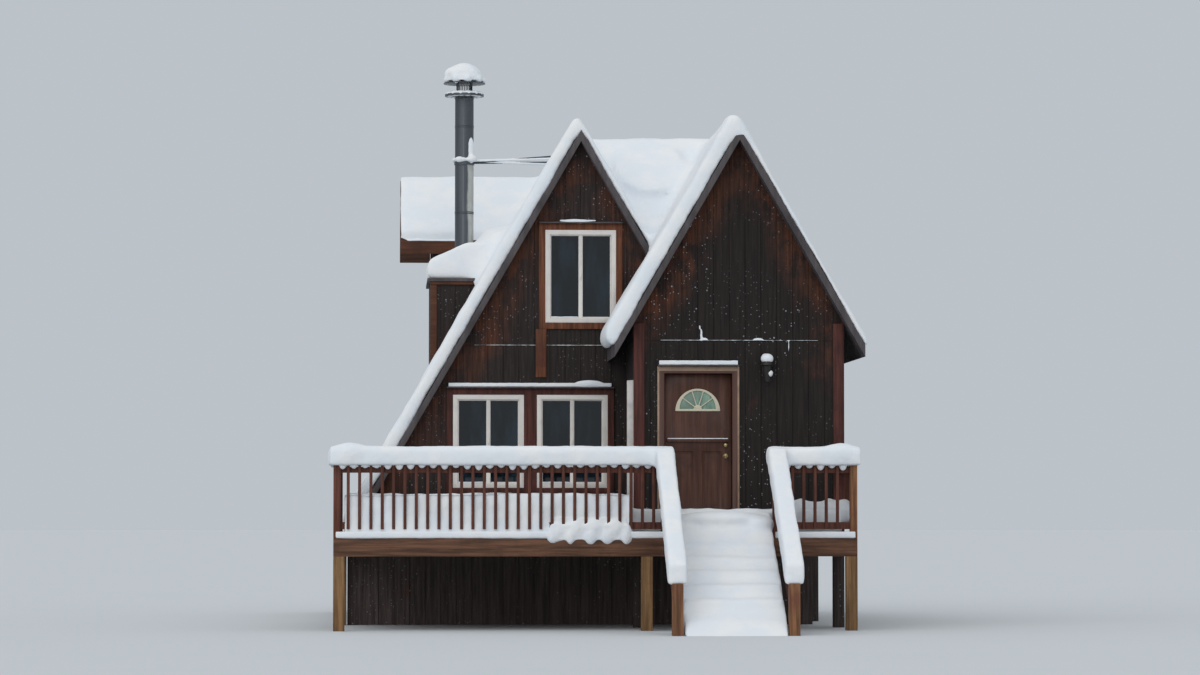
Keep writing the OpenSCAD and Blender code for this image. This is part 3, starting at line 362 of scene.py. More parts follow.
class Finish(Nodes):
    """Builds one procedural material on Object coordinates"""

    def __init__(self, name, roughness=0.7, **shader):
        self.material = bpy.data.materials.new(name)
        self.material.use_nodes = True
        super().__init__(self.material.node_tree)
        self.place = self.add("ShaderNodeTexCoord").outputs["Object"]
        self.set(Roughness=roughness, **shader)

    def set(self, **values):
        """Fills inputs of the shader, named with _ for a space, and returns the material"""
        shader = self.tree.nodes["Principled BSDF"]
        for key, value in values.items():
            self.fill(shader.inputs[key.replace("_", " ")], value)
        return self.material

    def axis(self, index):
        return self.add("ShaderNodeSeparateXYZ", {"Vector": self.place}).outputs[index]

    def noise(self, scale, detail=4.0, roughness=0.6, shift=(0, 0, 0)):
        """Noise on Object coordinates; three scales stretch it along the axes"""
        place = self.place
        if hasattr(scale, "__len__"):
            inputs = {"Vector": place, "Scale": scale, "Location": shift}
            place, scale = self.add("ShaderNodeMapping", inputs).outputs[0], 1.0
        inputs = {"Vector": place, "Scale": scale, "Detail": detail, "Roughness": roughness}
        return self.add("ShaderNodeTexNoise", inputs).outputs[0]

    def dots(self, scale, reach, share):
        """Small round spots, on the given share of the cells"""
        cells = self.add("ShaderNodeTexVoronoi", {"Vector": self.place, "Scale": scale})
        chance = self.add("ShaderNodeSeparateColor", {"Color": cells.outputs["Color"]})
        spot = self.level(cells.outputs["Distance"], reach, reach * 0.6)
        chosen = self.level(chance.outputs[0], share, share - 0.01)
        return self.times(spot, chosen)

    def level(self, value, low, high, to_low=0.0, to_high=1.0):
        """Carries a range of a value softly over to another range"""
        inputs = {"Value": value, "From Min": low, "From Max": high, "To Min": to_low,
                  "To Max": to_high}
        return self.add("ShaderNodeMapRange", inputs, interpolation_type="SMOOTHSTEP").outputs[0]

    def mix(self, factor, a, b):
        return self.add("ShaderNodeMix", {0: factor, 6: a, 7: b}, data_type="RGBA").outputs[2]

    def tones(self, marks, base, dark, pale, high=0.7):
        """Marks from a darker to a paler shade of one colour"""
        return self.mix(self.level(marks, 0.3, high), shaded(base, dark), shaded(base, pale))

    def grime(self, marks, base, share, low=0.42, dark=0.45):
        """A colour with a share of darker stains"""
        return self.mix(self.level(marks, low, low + 0.3, 0.0, share), base, shaded(base, dark))

    def bump(self, height, strength, distance, under=None):
        inputs = {"Height": height, "Strength": strength, "Distance": distance}
        if under is not None:
            inputs["Normal"] = under
        return self.add("ShaderNodeBump", inputs).outputs[0]

    def below_slope(self, ridge):
        """Distance under the nearer of the two slopes of a roof"""
        across = self.math("ABSOLUTE", self.math("SUBTRACT", self.axis(0), ridge[0]), 0.0)
        sideways = self.times(across, math.sin(PITCH))
        down = self.math("SUBTRACT", ridge[1], self.axis(2))
        return self.math("SUBTRACT", self.times(down, math.cos(PITCH)), sideways)


def shaded(value, factor):
    return tuple(x * factor for x in value)


def siding(name, colours, ridge, worn, lift=1.0):
    """Dark stained plywood: upright grain and streaks, worn to red-brown near the roof's edges"""
    skin = Finish(name, 0.82, Specular_IOR_Level=0.25)
    grain = skin.noise((34, 34, 1.6), 5)
    streaks = skin.noise((7, 7, 0.45), 5, shift=(3.1, 0.4, 1.7))
    patches = skin.noise(1.15, 5)
    bare = skin.level(patches, 0.62 - 0.1 * worn, 0.80)
    if ridge is not None:
        reach = skin.math("ADD", skin.below_slope(ridge), skin.times(patches, -0.7))
        bare = skin.math("ADD", bare, skin.level(reach, 0.24, -0.26), clamp=True)
    bare = skin.times(bare, skin.level(streaks, 0.30, 0.62, 0.45, 1.0))
    blotches = skin.noise((3.6, 3.6, 2.88), 6, 0.7, (18.0, 7.2, 3.6))
    bare = skin.times(bare, skin.level(blotches, 0.38, 0.56, 0.12, 1.0))
    # A lift above 1 is painted light: a brighter copy of the stain for walls in the shade under
    # the deck
    stained = skin.mix(bare, skin.tones(grain, shaded(colours.siding, lift), 0.62, 1.35),
                       skin.tones(grain, colours.siding_worn, 0.55, 1.3))
    dust = skin.times(skin.level(skin.noise(0.8, 3), 0.38, 0.66), 0.75)
    flecks = skin.math("MAXIMUM", skin.dots(13, 0.16, 0.3), skin.dots(29, 0.22, 0.34))
    flecks = skin.times(flecks, dust)
    return skin.set(Base_Color=skin.mix(flecks, stained, (0.42, 0.45, 0.49)),
                    Normal=skin.bump(grain, 0.35, 0.004))


def wood(name, base, along="Z", contrast=0.5, dark=None, roughness=0.72, grain=26.0, bump=0.3):
    """Stained boards with their grain along one axis"""
    skin = Finish(name, roughness, Specular_IOR_Level=0.3)
    scale = [grain] * 3
    scale["XYZ".index(along)] = grain * 0.05
    fibres = skin.noise(scale, 6, 0.65)
    pale = skin.tones(fibres, base, 1 - contrast, 1 + contrast * 0.8, 0.72)
    patches = skin.level(skin.noise(2.1, 4), 0.48, 0.74, 0.0, 0.75)
    return skin.set(Base_Color=skin.mix(patches, pale, dark or shaded(base, 0.42)),
                    Normal=skin.bump(fibres, bump, 0.003))


def paint(name, base, roughness, dirt, bump=0.12):
    """Paint with faint brush marks and grime"""
    skin = Finish(name, roughness)
    return skin.set(Base_Color=skin.grime(skin.noise(5.0, 6), base, dirt, 0.45, 0.55),
                    Normal=skin.bump(skin.noise((60, 60, 8), 3), bump, 0.002))


def cased(name, base, jamb, node, width):
    """Paint on a door's casing, and stained wood on the jambs inside it"""
    low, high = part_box(node)
    skin = Finish(name, 0.5)
    off = skin.math("ABSOLUTE", skin.math("SUBTRACT", skin.axis(0), (low.x + high.x) / 2), 0.0)
    inside = skin.times(skin.math("LESS_THAN", off, (high.x - low.x) / 2 - width),
                       skin.math("LESS_THAN", skin.axis(2), high.z - 2.4 * width))
    fibres = skin.noise((24, 24, 1.2), 6)
    wooden = skin.mix(fibres, shaded(jamb, 0.6), shaded(jamb, 1.3))
    painted = skin.grime(skin.noise(6.0, 6), base, 0.6)
    return skin.set(Base_Color=skin.mix(inside, painted, wooden),
                    Normal=skin.bump(fibres, 0.15, 0.003))


def metal(name, base, roughness=0.42, streaks=(9, 9, 0.7), metallic=0.85):
    """Dull metal with rain streaks and scratches"""
    skin = Finish(name, roughness, Metallic=metallic)
    marks, fine = skin.noise(streaks, 6), skin.noise(60.0, 3)
    return skin.set(Base_Color=skin.grime(marks, base, 0.4),
                    Roughness=skin.level(fine, 0.3, 0.7, roughness - 0.08, roughness + 0.12),
                    Normal=skin.bump(marks, 0.15, 0.004))


def frosted(name, base, node, top):
    """Dull metal whose right side is frosted below a height"""
    low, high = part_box(node)
    skin = Finish(name, 0.55, Metallic=0.6)
    ragged = skin.times(skin.noise((14, 14, 3), 4), 0.05)
    edge = (low.x + high.x) / 2 + 0.028
    side = skin.level(skin.math("SUBTRACT", skin.axis(0), ragged), edge - 0.025, edge + 0.005)
    frost = skin.times(side, skin.math("LESS_THAN", skin.axis(2), top))
    dull = skin.grime(skin.noise((9, 9, 0.7), 6), base, 0.4)
    rime = skin.mix(skin.noise(9.0, 4), (0.30, 0.31, 0.29), (0.52, 0.54, 0.52))
    return skin.set(Base_Color=skin.mix(frost, dull, rime),
                    Roughness=skin.level(frost, 0.0, 1.0, 0.5, 0.9),
                    Metallic=skin.level(frost, 0.0, 1.0, 0.85, 0.0),
                    Normal=skin.bump(skin.noise(30.0, 4), 0.2, 0.004))


def pane(name, base, transmission=0.35, roughness=0.04):
    """Glass over a dark room, a little wavy; its dark colour is painted shade of the unlit room
    behind, and paler patches in it are a painted reflection
    """
    skin = Finish(name, roughness, Transmission_Weight=transmission, IOR=1.5,
                  Specular_IOR_Level=0.6)
    painted_reflection = skin.noise((5.0, 5.0, 1.1), 4, shift=(0.7, 0.2, 0.4))
    # pale is a painted reflection: a lighter, bluer copy of the glass's colour, laid on in soft
    # patches
    pale = tuple(x * 2.2 + y for x, y in zip(base, (0.004, 0.012, 0.020)))
    return skin.set(Base_Color=skin.mix(skin.level(painted_reflection, 0.42, 0.72), base, pale),
                    Normal=skin.bump(skin.noise((1.3, 1.3, 0.5), 2), 0.08, 0.05))


def powder(name, base):
    """Settled powder: matte, with a fine crust; painted shade tints it faintly blue in the hollows
    of its waves
    """
    skin = Finish(name, 0.85, Specular_IOR_Level=0.2, Sheen_Weight=0.12, Sheen_Roughness=0.6)
    drifts = skin.noise(2.4, 3)
    # A bluer copy of the snow's colour, laid into the hollows of the drift noise: painted blue
    # shade
    painted_blue_shade = tuple(x * y for x, y in zip(base, (0.93, 0.96, 1.0)))
    soft = skin.bump(drifts, 0.25, 0.05)
    soft = skin.bump(skin.noise(24.0, 5), 0.28, 0.012, soft)
    return skin.set(Base_Color=skin.mix(skin.level(drifts, 0.38, 0.66), painted_blue_shade, base),
                    Normal=skin.bump(skin.noise(170.0, 3), 0.35, 0.002, soft))


def recipes(c):
    """Each finish with its maker and what that takes after the name; c holds the colours"""
    return {
        "siding_front": (siding, c, MAIN_RIDGE, 0.6),
        "siding_entry": (siding, c, ENTRY_RIDGE, 0.5, 0.70),
        "siding_side": (siding, c, None, 1.0),
        # The two skirt finishes brighten the stain 2.3 and 3.4 times: painted light on the skirt
        # and posts in the shade under the deck
        "siding_skirt": (siding, c, None, 0.0, 2.3),
        "siding_low": (siding, c, None, 0.0, 3.4),
        "trim": (wood, c.trim, "Z", 0.5, c.trim_dark),
        "trim_dark": (wood, shaded(c.trim_dark, 1.25)),
        "dormer_edge": (wood, shaded(c.trim, 0.6), "X", 0.4),
        "strip": (paint, (0.52, 0.50, 0.48), 0.6, 0.6, 0.3),
        "roof_edge": (wood, c.roof_edge, "Z", 0.25, None, 0.8, 14, 0.2),
        "floor": (wood, (0.25, 0.15, 0.09), "Y", 0.35, None, 0.45, 22, 0.15),
        "posts": (wood, c.post),
        "rim": (wood, c.rim, "X", 0.55),
        "joists": (wood, shaded(c.rim, 0.7), "Y"),
        "rails": (wood, c.rail, "Z", 0.45, None, 0.7, 30),
        "newels": (wood, (0.19, 0.088, 0.040), "Z", 0.55, shaded(c.rail, 1.2)),
        "door": (wood, c.door, "Z", 0.4, None, 0.42, 24, 0.15),
        "casing": (cased, c.casing, c.door, "door_frame", 0.024),
        "fan_frame": (paint, c.fan_frame, 0.45, 0.2),
        "window_frame": (paint, c.window, 0.42, 0.25, 0.06),
        "window_glass": (pane, c.glass),
        "fan_glass": (pane, c.fan_glass, 0.25, 0.25),
        "pipe": (metal, c.pipe),
        "frosted_pipe": (frosted, c.pipe, "chimney_pipe", 6.25),
        "hinge": (metal, (0.42, 0.41, 0.39), 0.38, (30, 30, 30)),
        "lantern": (metal, c.lantern, 0.5, (30, 30, 10), 0.3),
        "brass": (metal, c.brass, 0.3, (40, 40, 40), 0.9),
        "snow": (powder, c.snow),
    }


FINISHES = {}


def finish(name):
    """Each finish is made once, when the first piece asks for it"""
    if name not in FINISHES:
        make, *values = recipes(settings()[2])[name]
        FINISHES[name] = make(name, *values)
    return FINISHES[name]


# Pieces


class ChaletOperator(bpy.types.Operator):
    """Base of the chalet's operators"""

    bl_options = {"REGISTER", "UNDO"}

    def execute(self, context):
        self.build(*settings()[:2])
        deselect()
        return {"FINISHED"}


# How far a cutter stands out of its wall, how near it comes to the wall's edges, and half the
# height of the level joint
CUTTER_REACH = 0.01
SHEET_MARGIN = 0.02
JOINT_HALF = 0.005


def sheet_cutters(low, high, axis, outward, sizes):
    """Cutters for the upright grooves and the level joint in one face of a wall.

    axis is the axis that the face runs along, and outward the side that it looks to.
    """
    across = 1 - axis
    face = (high if outward > 0 else low)[across]

    def bar(start, end, foot, head, depth):
        a, b = Vector(), Vector()
        a[axis], b[axis] = start, end
        a[across], b[across] = sorted((face + outward * CUTTER_REACH, face - outward * depth))
        a.z, b.z = foot, head
        return block(a, b)

    cutters = []
    first = math.ceil((low[axis] + SHEET_MARGIN) / sizes.groove_pitch)
    last = math.floor((high[axis] - SHEET_MARGIN) / sizes.groove_pitch)
    if last >= first:
        start = first * sizes.groove_pitch - sizes.groove_width / 2
        groove = bar(start, start + sizes.groove_width, low.z - CUTTER_REACH,
                     high.z + CUTTER_REACH, sizes.groove_depth)
        step = [sizes.groove_pitch * (k == axis) for k in range(3)]
        cutters.append(array(groove, last - first + 1, step))
    joint = sizes.joint_height
    if low.z + SHEET_MARGIN < joint < high.z - SHEET_MARGIN:
        cutters.append(bar(low[axis] - CUTTER_REACH, high[axis] + CUTTER_REACH,
                           joint - JOINT_HALF, joint + JOINT_HALF, sizes.groove_depth * 0.8))
    return cutters


# The sides that a wall may face, as (axis that the face runs along, outward), and each wall node
# with its finish and the sides that have sheets
FRONT, BACK, LEFT, RIGHT = (0, -1), (0, 1), (1, -1), (1, 1)
WALLS = {
    "front_wall": ("siding_front", FRONT),
    "back_wall": ("siding_front", BACK),
    "entry_front_left": ("siding_entry", FRONT),
    "entry_front_right": ("siding_entry", FRONT),
    "entry_gable": ("siding_entry", FRONT),
    "entry_side_left": ("siding_side", LEFT),
    "entry_side_right": ("siding_side", RIGHT),
    "entry_back_wall": ("siding_entry", BACK),
    "skirt_ends": ("siding_low", FRONT, BACK),
    "skirt_sides": ("siding_skirt", LEFT, RIGHT),
    "rear_dormer_walls": ("siding_side", LEFT, FRONT, BACK),
    "front_dormer_walls": ("siding_side", LEFT, FRONT, BACK),
}


class CHALET_OT_siding(ChaletOperator):
    """Cuts the grooves and the sheet joint into every outside wall"""

    bl_idname = "chalet.siding"
    bl_label = "Grooved siding"

    def build(self, sizes, snow):
        for node, (skin, *sides) in WALLS.items():
            wall = solid_copy(node, node + "_siding")
            for axis, outward in sides:
                for cutter in sheet_cutters(*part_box(node), axis, outward, sizes):
                    cut(wall, cutter)
            wear(wall, skin, "dark_siding", node)
        dress("house_posts", "wing_posts", "siding_skirt", "dark_siding", sizes.edge_round)


class CHALET_OT_trim(ChaletOperator):
    """Corner boards, window trim, drip caps and rake boards, and the trim of the front dormer"""

    bl_idname = "chalet.trim"
    bl_label = "Trim boards"

    def build(self, sizes, snow):
        for node, skin in (("corner_boards", "trim_dark"), ("window_trim", "trim"),
                           ("drip_caps", "roof_edge"), ("rake_boards", "roof_edge")):
            slot = "roof_deck" if node == "rake_boards" else "red_trim"
            piece = dress(node, node + "_stained", skin, slot, sizes.edge_round)
            if node == "window_trim":
                second_finish(piece, "trim_dark", lambda at: at.z < 3.2)
            elif node == "corner_boards":
                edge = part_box("entry_gable")[0].x
                second_finish(piece, "strip", lambda at: at.x < edge - 0.001)
        x, y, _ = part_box("front_dormer_walls")[0]
        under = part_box("front_dormer_roof")[0].z
        boards = [block((x, y - 0.022, under - 0.042), (x + 0.72, y + 0.01, under)),
                  block((x, y - 0.014, 3.1), (x + 0.085, y + 0.01, under - 0.042))]
        wear(round_edges(join(boards, "dormer_trim"), sizes.edge_round), "dormer_edge", "red_trim")


class CHALET_OT_roofs(ChaletOperator):
    """Gives the roof slopes and the floors their boards"""

    bl_idname = "chalet.roofs"
    bl_label = "Roof slopes and floors"
    # Gives the roof slopes rounded edges, and the roof slopes and the floors their stained wood

    def build(self, sizes, snow):
        for node in ("main_roof_left", "main_roof_right", "entry_roof_left", "entry_roof_right",
                     "saddle_roof", "rear_dormer_roof", "front_dormer_roof"):
            skin = "dormer_edge" if node == "rear_dormer_roof" else "roof_edge"
            dress(node, node + "_boards", skin, "roof_deck", sizes.edge_round, 1)
        for node in ("main_floor", "entry_floor", "loft_floor"):
            dress(node, node + "_boards", "floor", "floor_wood")


def ring(low, high, bar):
    """An upright frame in the XZ plane: a plate, inset by the bar's width and pulled to depth"""
    low, (wide, deep, tall) = Vector(low), Vector(high) - Vector(low)
    obj = primitive(bpy.ops.mesh.primitive_plane_add, (wide, tall, 1), size=1,
                    rotation=(math.pi / 2, 0, 0), location=low + Vector((wide, 0, tall)) / 2)
    edit(obj)
    bpy.ops.mesh.inset(thickness=bar)
    bpy.ops.mesh.delete(type="FACE")
    bpy.ops.mesh.select_all(action="SELECT")
    bpy.ops.mesh.extrude_region_move(TRANSFORM_OT_translate={"value": (0, deep, 0)})
    bpy.ops.mesh.select_all(action="SELECT")
    bpy.ops.mesh.normals_make_consistent(inside=False)
    bpy.ops.object.mode_set(mode="OBJECT")
    return obj


def window_places():
    """Where each window stands: a matrix that carries a window drawn at the origin facing -Y"""
    places = []
    centre = (CAD_BOX[0] + CAD_BOX[1]) / 2
    for low, high in islands("window_frames"):
        middle, span = (low + high) / 2, high - low
        if span.x > span.y:
            turn, x, y = (0, middle.x, low.y) if middle.y < centre.y else (180, middle.x, high.y)
        else:
            turn, x, y = (-90, low.x, middle.y) if middle.x < 0 else (90, high.x, middle.y)
        place = Matrix.Translation((x, y, low.z)) @ Matrix.Rotation(math.radians(turn), 4, "Z")
        places.append((place, (max(span.x, span.y), span.z)))
    return places


# Depths in a window, measured inwards from the frame's front face, and widths of its bars
SASH_FRONT = 0.022
SASH_DEPTH = 0.026
SASH_STEP = 0.008
SASH_BAR = 0.016
FRAME_BAR = 0.062
LATCH = 0.012


class CHALET_OT_windows(ChaletOperator):
    """Frames with rounded edges, two sashes with a latch, and dark glass in each window"""

    bl_idname = "chalet.windows"
    bl_label = "Windows"

    def build(self, sizes, snow):
        dress("window_frames", "window_frames_painted", "window_frame", "white_frame", 0.003)
        sashes, latches = [], []
        for place, (width, height) in window_places():
            inner, top = width / 2 - FRAME_BAR, height - FRAME_BAR
            for side, front in ((-1, SASH_FRONT), (1, SASH_FRONT + SASH_STEP)):
                x0, x1 = sorted((side * inner, side * LATCH))
                sash = ring((x0, front, FRAME_BAR), (x1, front + SASH_DEPTH, top), SASH_BAR)
                sash.data.transform(place)
                sashes.append(sash)
            latches.append(block((-LATCH, 0.0, height * 0.47), (LATCH, LATCH, height * 0.53)))
            round_edges(latches[-1], 0.004).data.transform(place)
        wear(round_edges(join(sashes, "window_sashes"), 0.002, 1), "window_frame", "white_frame")
        wear(join(latches, "window_latches"), "window_frame", "white_frame")
        dress("window_glass", "window_panes", "window_glass", "window_glass")


# Each node of the door with its finish, its slot, its body and the rounding of its edges
DOOR_NODES = (
    ("door_frame", "casing", "cream_frame", "house", 0.004),
    ("door_hinges", "hinge", "hinge_steel", "house", 0.0008),
    ("door_hinge_leaves", "hinge", "hinge_steel", "door", 0.0008),
    ("door_leaf", "door", "door_wood", "door", 0.003),
    ("door_fanlight", "fan_frame", "cream_frame", "door", 0.003),
    ("door_glass", "fan_glass", "fan_glass", "door", 0.001))


class CHALET_OT_door(ChaletOperator):
    """The panelled leaf, its light, frame, hinges and knobs, and the lantern beside it"""

    bl_idname = "chalet.door"
    bl_label = "Entrance door and porch light"

    def build(self, sizes, snow):
        for node, skin, slot, body, edge in DOOR_NODES:
            dress(node, node + "_finished", skin, slot, edge, body=body)
        dress("door_knob", "door_knobs", "brass", "knob_brass", angle=50, body="door")
        self.panels()
        dress("porch_light", "porch_lantern", "lantern", "lantern_metal", 0.003)

    def panels(self):
        """Raised fields in the two sunk panels of the leaf"""
        low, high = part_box("door_leaf")
        middle, edge, foot, head = (low.x + high.x) / 2, 0.15, 0.27, 0.96
        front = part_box("door_fanlight")[1].y + 0.010
        fields = []
        for x0, x1 in ((low.x + edge, middle - 0.09), (middle + 0.09, high.x - edge)):
            field = block((x0, front - 0.001, low.z + foot), (x1, front + 0.012, low.z + head))
            edit(field, "DESELECT")
            mesh = bmesh.from_edit_mesh(field.data)
            for face in mesh.faces:
                face.select = face.normal.y < -0.9
            bmesh.update_edit_mesh(field.data)
            bpy.ops.mesh.inset(thickness=0.028, depth=0.0)
            bpy.ops.transform.translate(value=(0, -0.007, 0))
            bpy.ops.object.mode_set(mode="OBJECT")
            fields.append(field)
        wear(shade(join(fields, "door_fields"), 20), "door", "door_wood", body="door")


# Heights of the pipe's joints, and the number of bars round the cap's screen
PIPE_JOINTS = (5.54, 5.56, 6.72, 6.74)
SCREEN_BARS = 28


class CHALET_OT_chimney(ChaletOperator):
    """The flue pipe with its joint rings, the clamped band, the braces, the cap and its screen"""

    bl_idname = "chalet.chimney"
    bl_label = "Chimney"

    def build(self, sizes, snow):
        for node in ("chimney_pipe", "chimney_cap", "chimney_braces"):
            skin = "frosted_pipe" if node == "chimney_pipe" else "pipe"
            dress(node, node + "_steel", skin, "pipe_steel")
        foot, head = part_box("chimney_cap")
        x, y, _ = (foot + head) / 2
        size = {"major_radius": 0.127, "minor_radius": 0.006, "major_segments": 48,
                "minor_segments": 8}
        rings = [primitive(bpy.ops.mesh.primitive_torus_add, location=(x, y, z), **size)
                 for z in (*PIPE_JOINTS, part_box("chimney_pipe")[1].z - 0.03)]
        wear(shade(join(rings, "pipe_rings"), 60), "pipe", "pipe_steel")
        bars, middle = [], Matrix.Translation((x, y, 0))
        for k in range(SCREEN_BARS):
            bar = block((0.103, -0.0035, foot.z + 0.02), (0.108, 0.0035, head.z - 0.05))
            bar.data.transform(middle @ Matrix.Rotation(k * math.tau / SCREEN_BARS, 4, "Z"))
            bars.append(bar)
        wear(join(bars, "spark_screen"), "lantern", "pipe_steel")


class CHALET_OT_deck(ChaletOperator):
    """The deck in separate boards, its railings with paler newels and right end post, the stair"""

    bl_idname = "chalet.deck"
    bl_label = "Deck, railings and stair"

    def build(self, sizes, snow):
        for node, skin in (("deck_posts", "posts"), ("deck_joists", "joists"),
                           ("deck_rim", "rim")):
            slot = "post_wood" if node == "deck_posts" else "rim_wood"
            dress(node, node + "_stained", skin, slot, sizes.edge_round)
        boards = []
        for low, high in islands("deck_boards"):
            depth = high.y - low.y
            count = round(depth / (sizes.board_width + sizes.board_gap))
            pitch = (depth + sizes.board_gap) / count
            board = block(low, (high.x, low.y + pitch - sizes.board_gap, high.z))
            boards.append(array(round_edges(board, sizes.edge_round, 1), count, (0, pitch, 0)))
        wear(join(boards, "deck_planks"), "rim", "rim_wood", "deck_boards")
        for node in ("rail_front_left", "rail_front_right", "rail_sides", "stair_rails"):
            piece = dress(node, node + "_stained", "rails", "rail_wood", sizes.edge_round, 1)
            low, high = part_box(node)
            edge = high.x - sizes.rail_post - 0.002
            if node == "stair_rails":
                second_finish(piece, "newels", lambda at: at.y < low.y + 0.132 and at.z < 0.62)
            elif node == "rail_front_right":
                second_finish(piece, "newels", lambda at: at.x > edge)
        for node in ("stair_stringers", "stair_treads"):
            dress(node, node + "_stained", "rim", "rim_wood", sizes.edge_round)


# Snow


def clouds(name, size):
    texture = bpy.data.textures.new(name, "CLOUDS")
    texture.noise_scale = size
    return texture


def drift(parts, name, grid, passes, depth, size, *nodes, body="house"):
    """Fuses parts into one soft body of snow: remeshed, smoothed and waved, mostly inwards"""
    pile = join(parts, name)
    modify(pile, "REMESH", mode="VOXEL", voxel_size=grid)
    modify(pile, "SMOOTH", factor=0.5, iterations=passes)
    if depth:
        kinds = ("_waves", size, depth, 0.95), ("_lumps", size * 0.22, depth * 0.35, 0.8)
        for kind, scale, strength, level in kinds:
            modify(pile, "DISPLACE", texture=clouds(name + kind, scale), strength=strength,
                   mid_level=level)
        modify(pile, "SMOOTH", factor=0.5, iterations=2)
    for vert in pile.data.vertices:
        vert.co.z = max(vert.co.z, GROUND)
    pick(pile)
    bpy.ops.object.shade_smooth()
    return wear(pile, "snow", "snow", *nodes, body=body)


def sunk(node, drop):
    """A CAD snow solid with a copy pushed down into what carries it"""
    top = solid_copy(node, node)
    return [top, shifted(top, 0, 0, -drop)]


def lump(centre, radii, tilt=0.0):
    """A round lump of snow, to be fused into a drift; tilt lifts its far end"""
    return primitive(bpy.ops.mesh.primitive_ico_sphere_add, radii, subdivisions=3,
                     location=centre, rotation=(tilt, 0, 0))


def disc(centre, size, tilt):
    """A round plate of snow, lifted at its far end, that ends in a curved lip"""
    return primitive(bpy.ops.mesh.primitive_cylinder_add, size, vertices=40, depth=1,
                     location=centre, rotation=(tilt, 0, 0))


def roll(low, high, radius):
    """A round roll of snow between two points"""
    low, high = Vector(low), Vector(high)
    return primitive(bpy.ops.mesh.primitive_cylinder_add, vertices=20, radius=radius,
                     depth=(high - low).length, location=(low + high) / 2,
                     rotation=(high - low).to_track_quat("Z", "Y").to_euler())


def around(x, y, radius, count):
    """Evenly spaced places on a circle"""
    turns = (k * math.tau / count for k in range(count))
    return [(x + radius * math.cos(a), y + radius * math.sin(a)) for a in turns]


def wander(seed):
    """A steady stream of numbers from -1 to 1"""
    step = 0
    while True:
        step += 1
        yield noise.noise(Vector((seed * 7.31, step * 1.37, step * 0.61))) * 1.6


class CHALET_OT_roof_snow(ChaletOperator):
    """Snow on the roofs and the dormers, run together in the valley, and on the chimney cap"""

    bl_idname = "chalet.roof_snow"
    bl_label = "Snow on the roofs"

    def build(self, sizes, snow):
        nodes = ("snow_main_roof", "snow_entry_roof", "snow_saddle", "snow_dormers")
        parts = []
        for node in nodes:
            parts += sunk(node, snow.roof_bed)
            if node in nodes[:2]:
                parts.append(shifted(parts[-2], 0, -snow.lip, -snow.lip))
        valley = (MAIN_RIDGE[0] + ENTRY_RIDGE[0]) / 2
        slope = math.radians(36)
        parts += [lump((valley + 0.03, 0.16, 4.84), (0.20, 0.3, 0.26)),
                  lump((valley + 0.02, 0.55, 5.20), (0.26, 0.5, 0.14), slope),
                  roll((-0.12, 2.2, 6.44), (ENTRY_RIDGE[0] + 0.05, 2.2, 6.46), 0.19),
                  lump((valley, 2.10, 6.28), (1.0, 0.60, 0.22), slope),
                  disc((valley + 0.03, 1.73, 6.03), (0.50, 0.72, 0.50), slope),
                  lump((-1.00, 1.9, 5.14), (0.36, 0.95, 0.24)),
                  shifted(parts[-2], -0.03, 0, 0)]
        parts += self.sheltered()
        drift(parts, "roof_snow", snow.roof_grid, snow.smooth_passes, snow.drift_depth,
              snow.drift_size, *nodes)
        self.chimney()

    def sheltered(self):
        """Snow on the slope under the rear dormer's overhang"""
        low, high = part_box("rear_dormer_roof")
        face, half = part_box("rear_dormer_walls")[0].x, 0.10
        rolls = []
        for k in range(15):
            x = face - 0.01 - k * 0.038
            z = MAIN_RIDGE[1] - (MAIN_RIDGE[0] - x) * math.tan(PITCH) + half * math.cos(PITCH)
            x -= half * math.sin(PITCH)
            rolls.append(roll((x, low.y - 0.03, z), (x, high.y + 0.03, z), half))
        return rolls

    def chimney(self):
        """The cap's dome sags over its edge; the disc, the band and the pipe carry a little"""
        low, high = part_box("snow_chimney")
        x, y, _ = (low + high) / 2
        wide = (high.x - low.x) / 2
        dome = sunk("snow_chimney", 0.01)
        for k, place in enumerate(around(x, y, wide * 0.86, 9)):
            tall = 0.07 + 0.012 * math.sin(k * 2.3)
            dome.append(lump((*place, low.z + 0.02), (0.07, 0.07, tall)))
        dome.append(lump((x - 0.03, y, low.z + 0.10), (wide * 0.93, wide * 0.93, 0.15)))
        drift(dome, "chimney_cap_snow", 0.016, 6, 0.025, 0.12, "snow_chimney")
        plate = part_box("chimney_cap")[0].z + 0.03
        bits = [lump((*place, plate), (0.075, 0.075, 0.044)) for place in around(x, y, 0.20, 14)]
        bits += [lump((*place, BAND_Z), (0.05, 0.05, 0.035)) for place in around(x, y, 0.13, 11)]
        bits += [lump((x + 0.10, y - 0.12, BAND_Z + 0.01), (0.07, 0.06, 0.055)),
                 lump((x - 0.07, y - 0.14, BAND_Z), (0.06, 0.05, 0.045))]
        bits += [lump((x + 0.082, y - 0.078, z), (0.052, 0.052, 0.13)) for z in (6.33, 6.40, 6.46)]
        rod = BAND_Z - 0.013
        bits += [roll((x + 0.13, y + side * 0.042, rod), (-0.16, y + side * 0.50, rod), 0.024)
                 for side in (-1, 1)]
        drift(bits, "chimney_snow_bits", 0.011, 3, 0.008, 0.08)


# Rises from the ground to the deck, and the run of a tread
STEPS_UP = 7
TREAD_RUN = 0.293


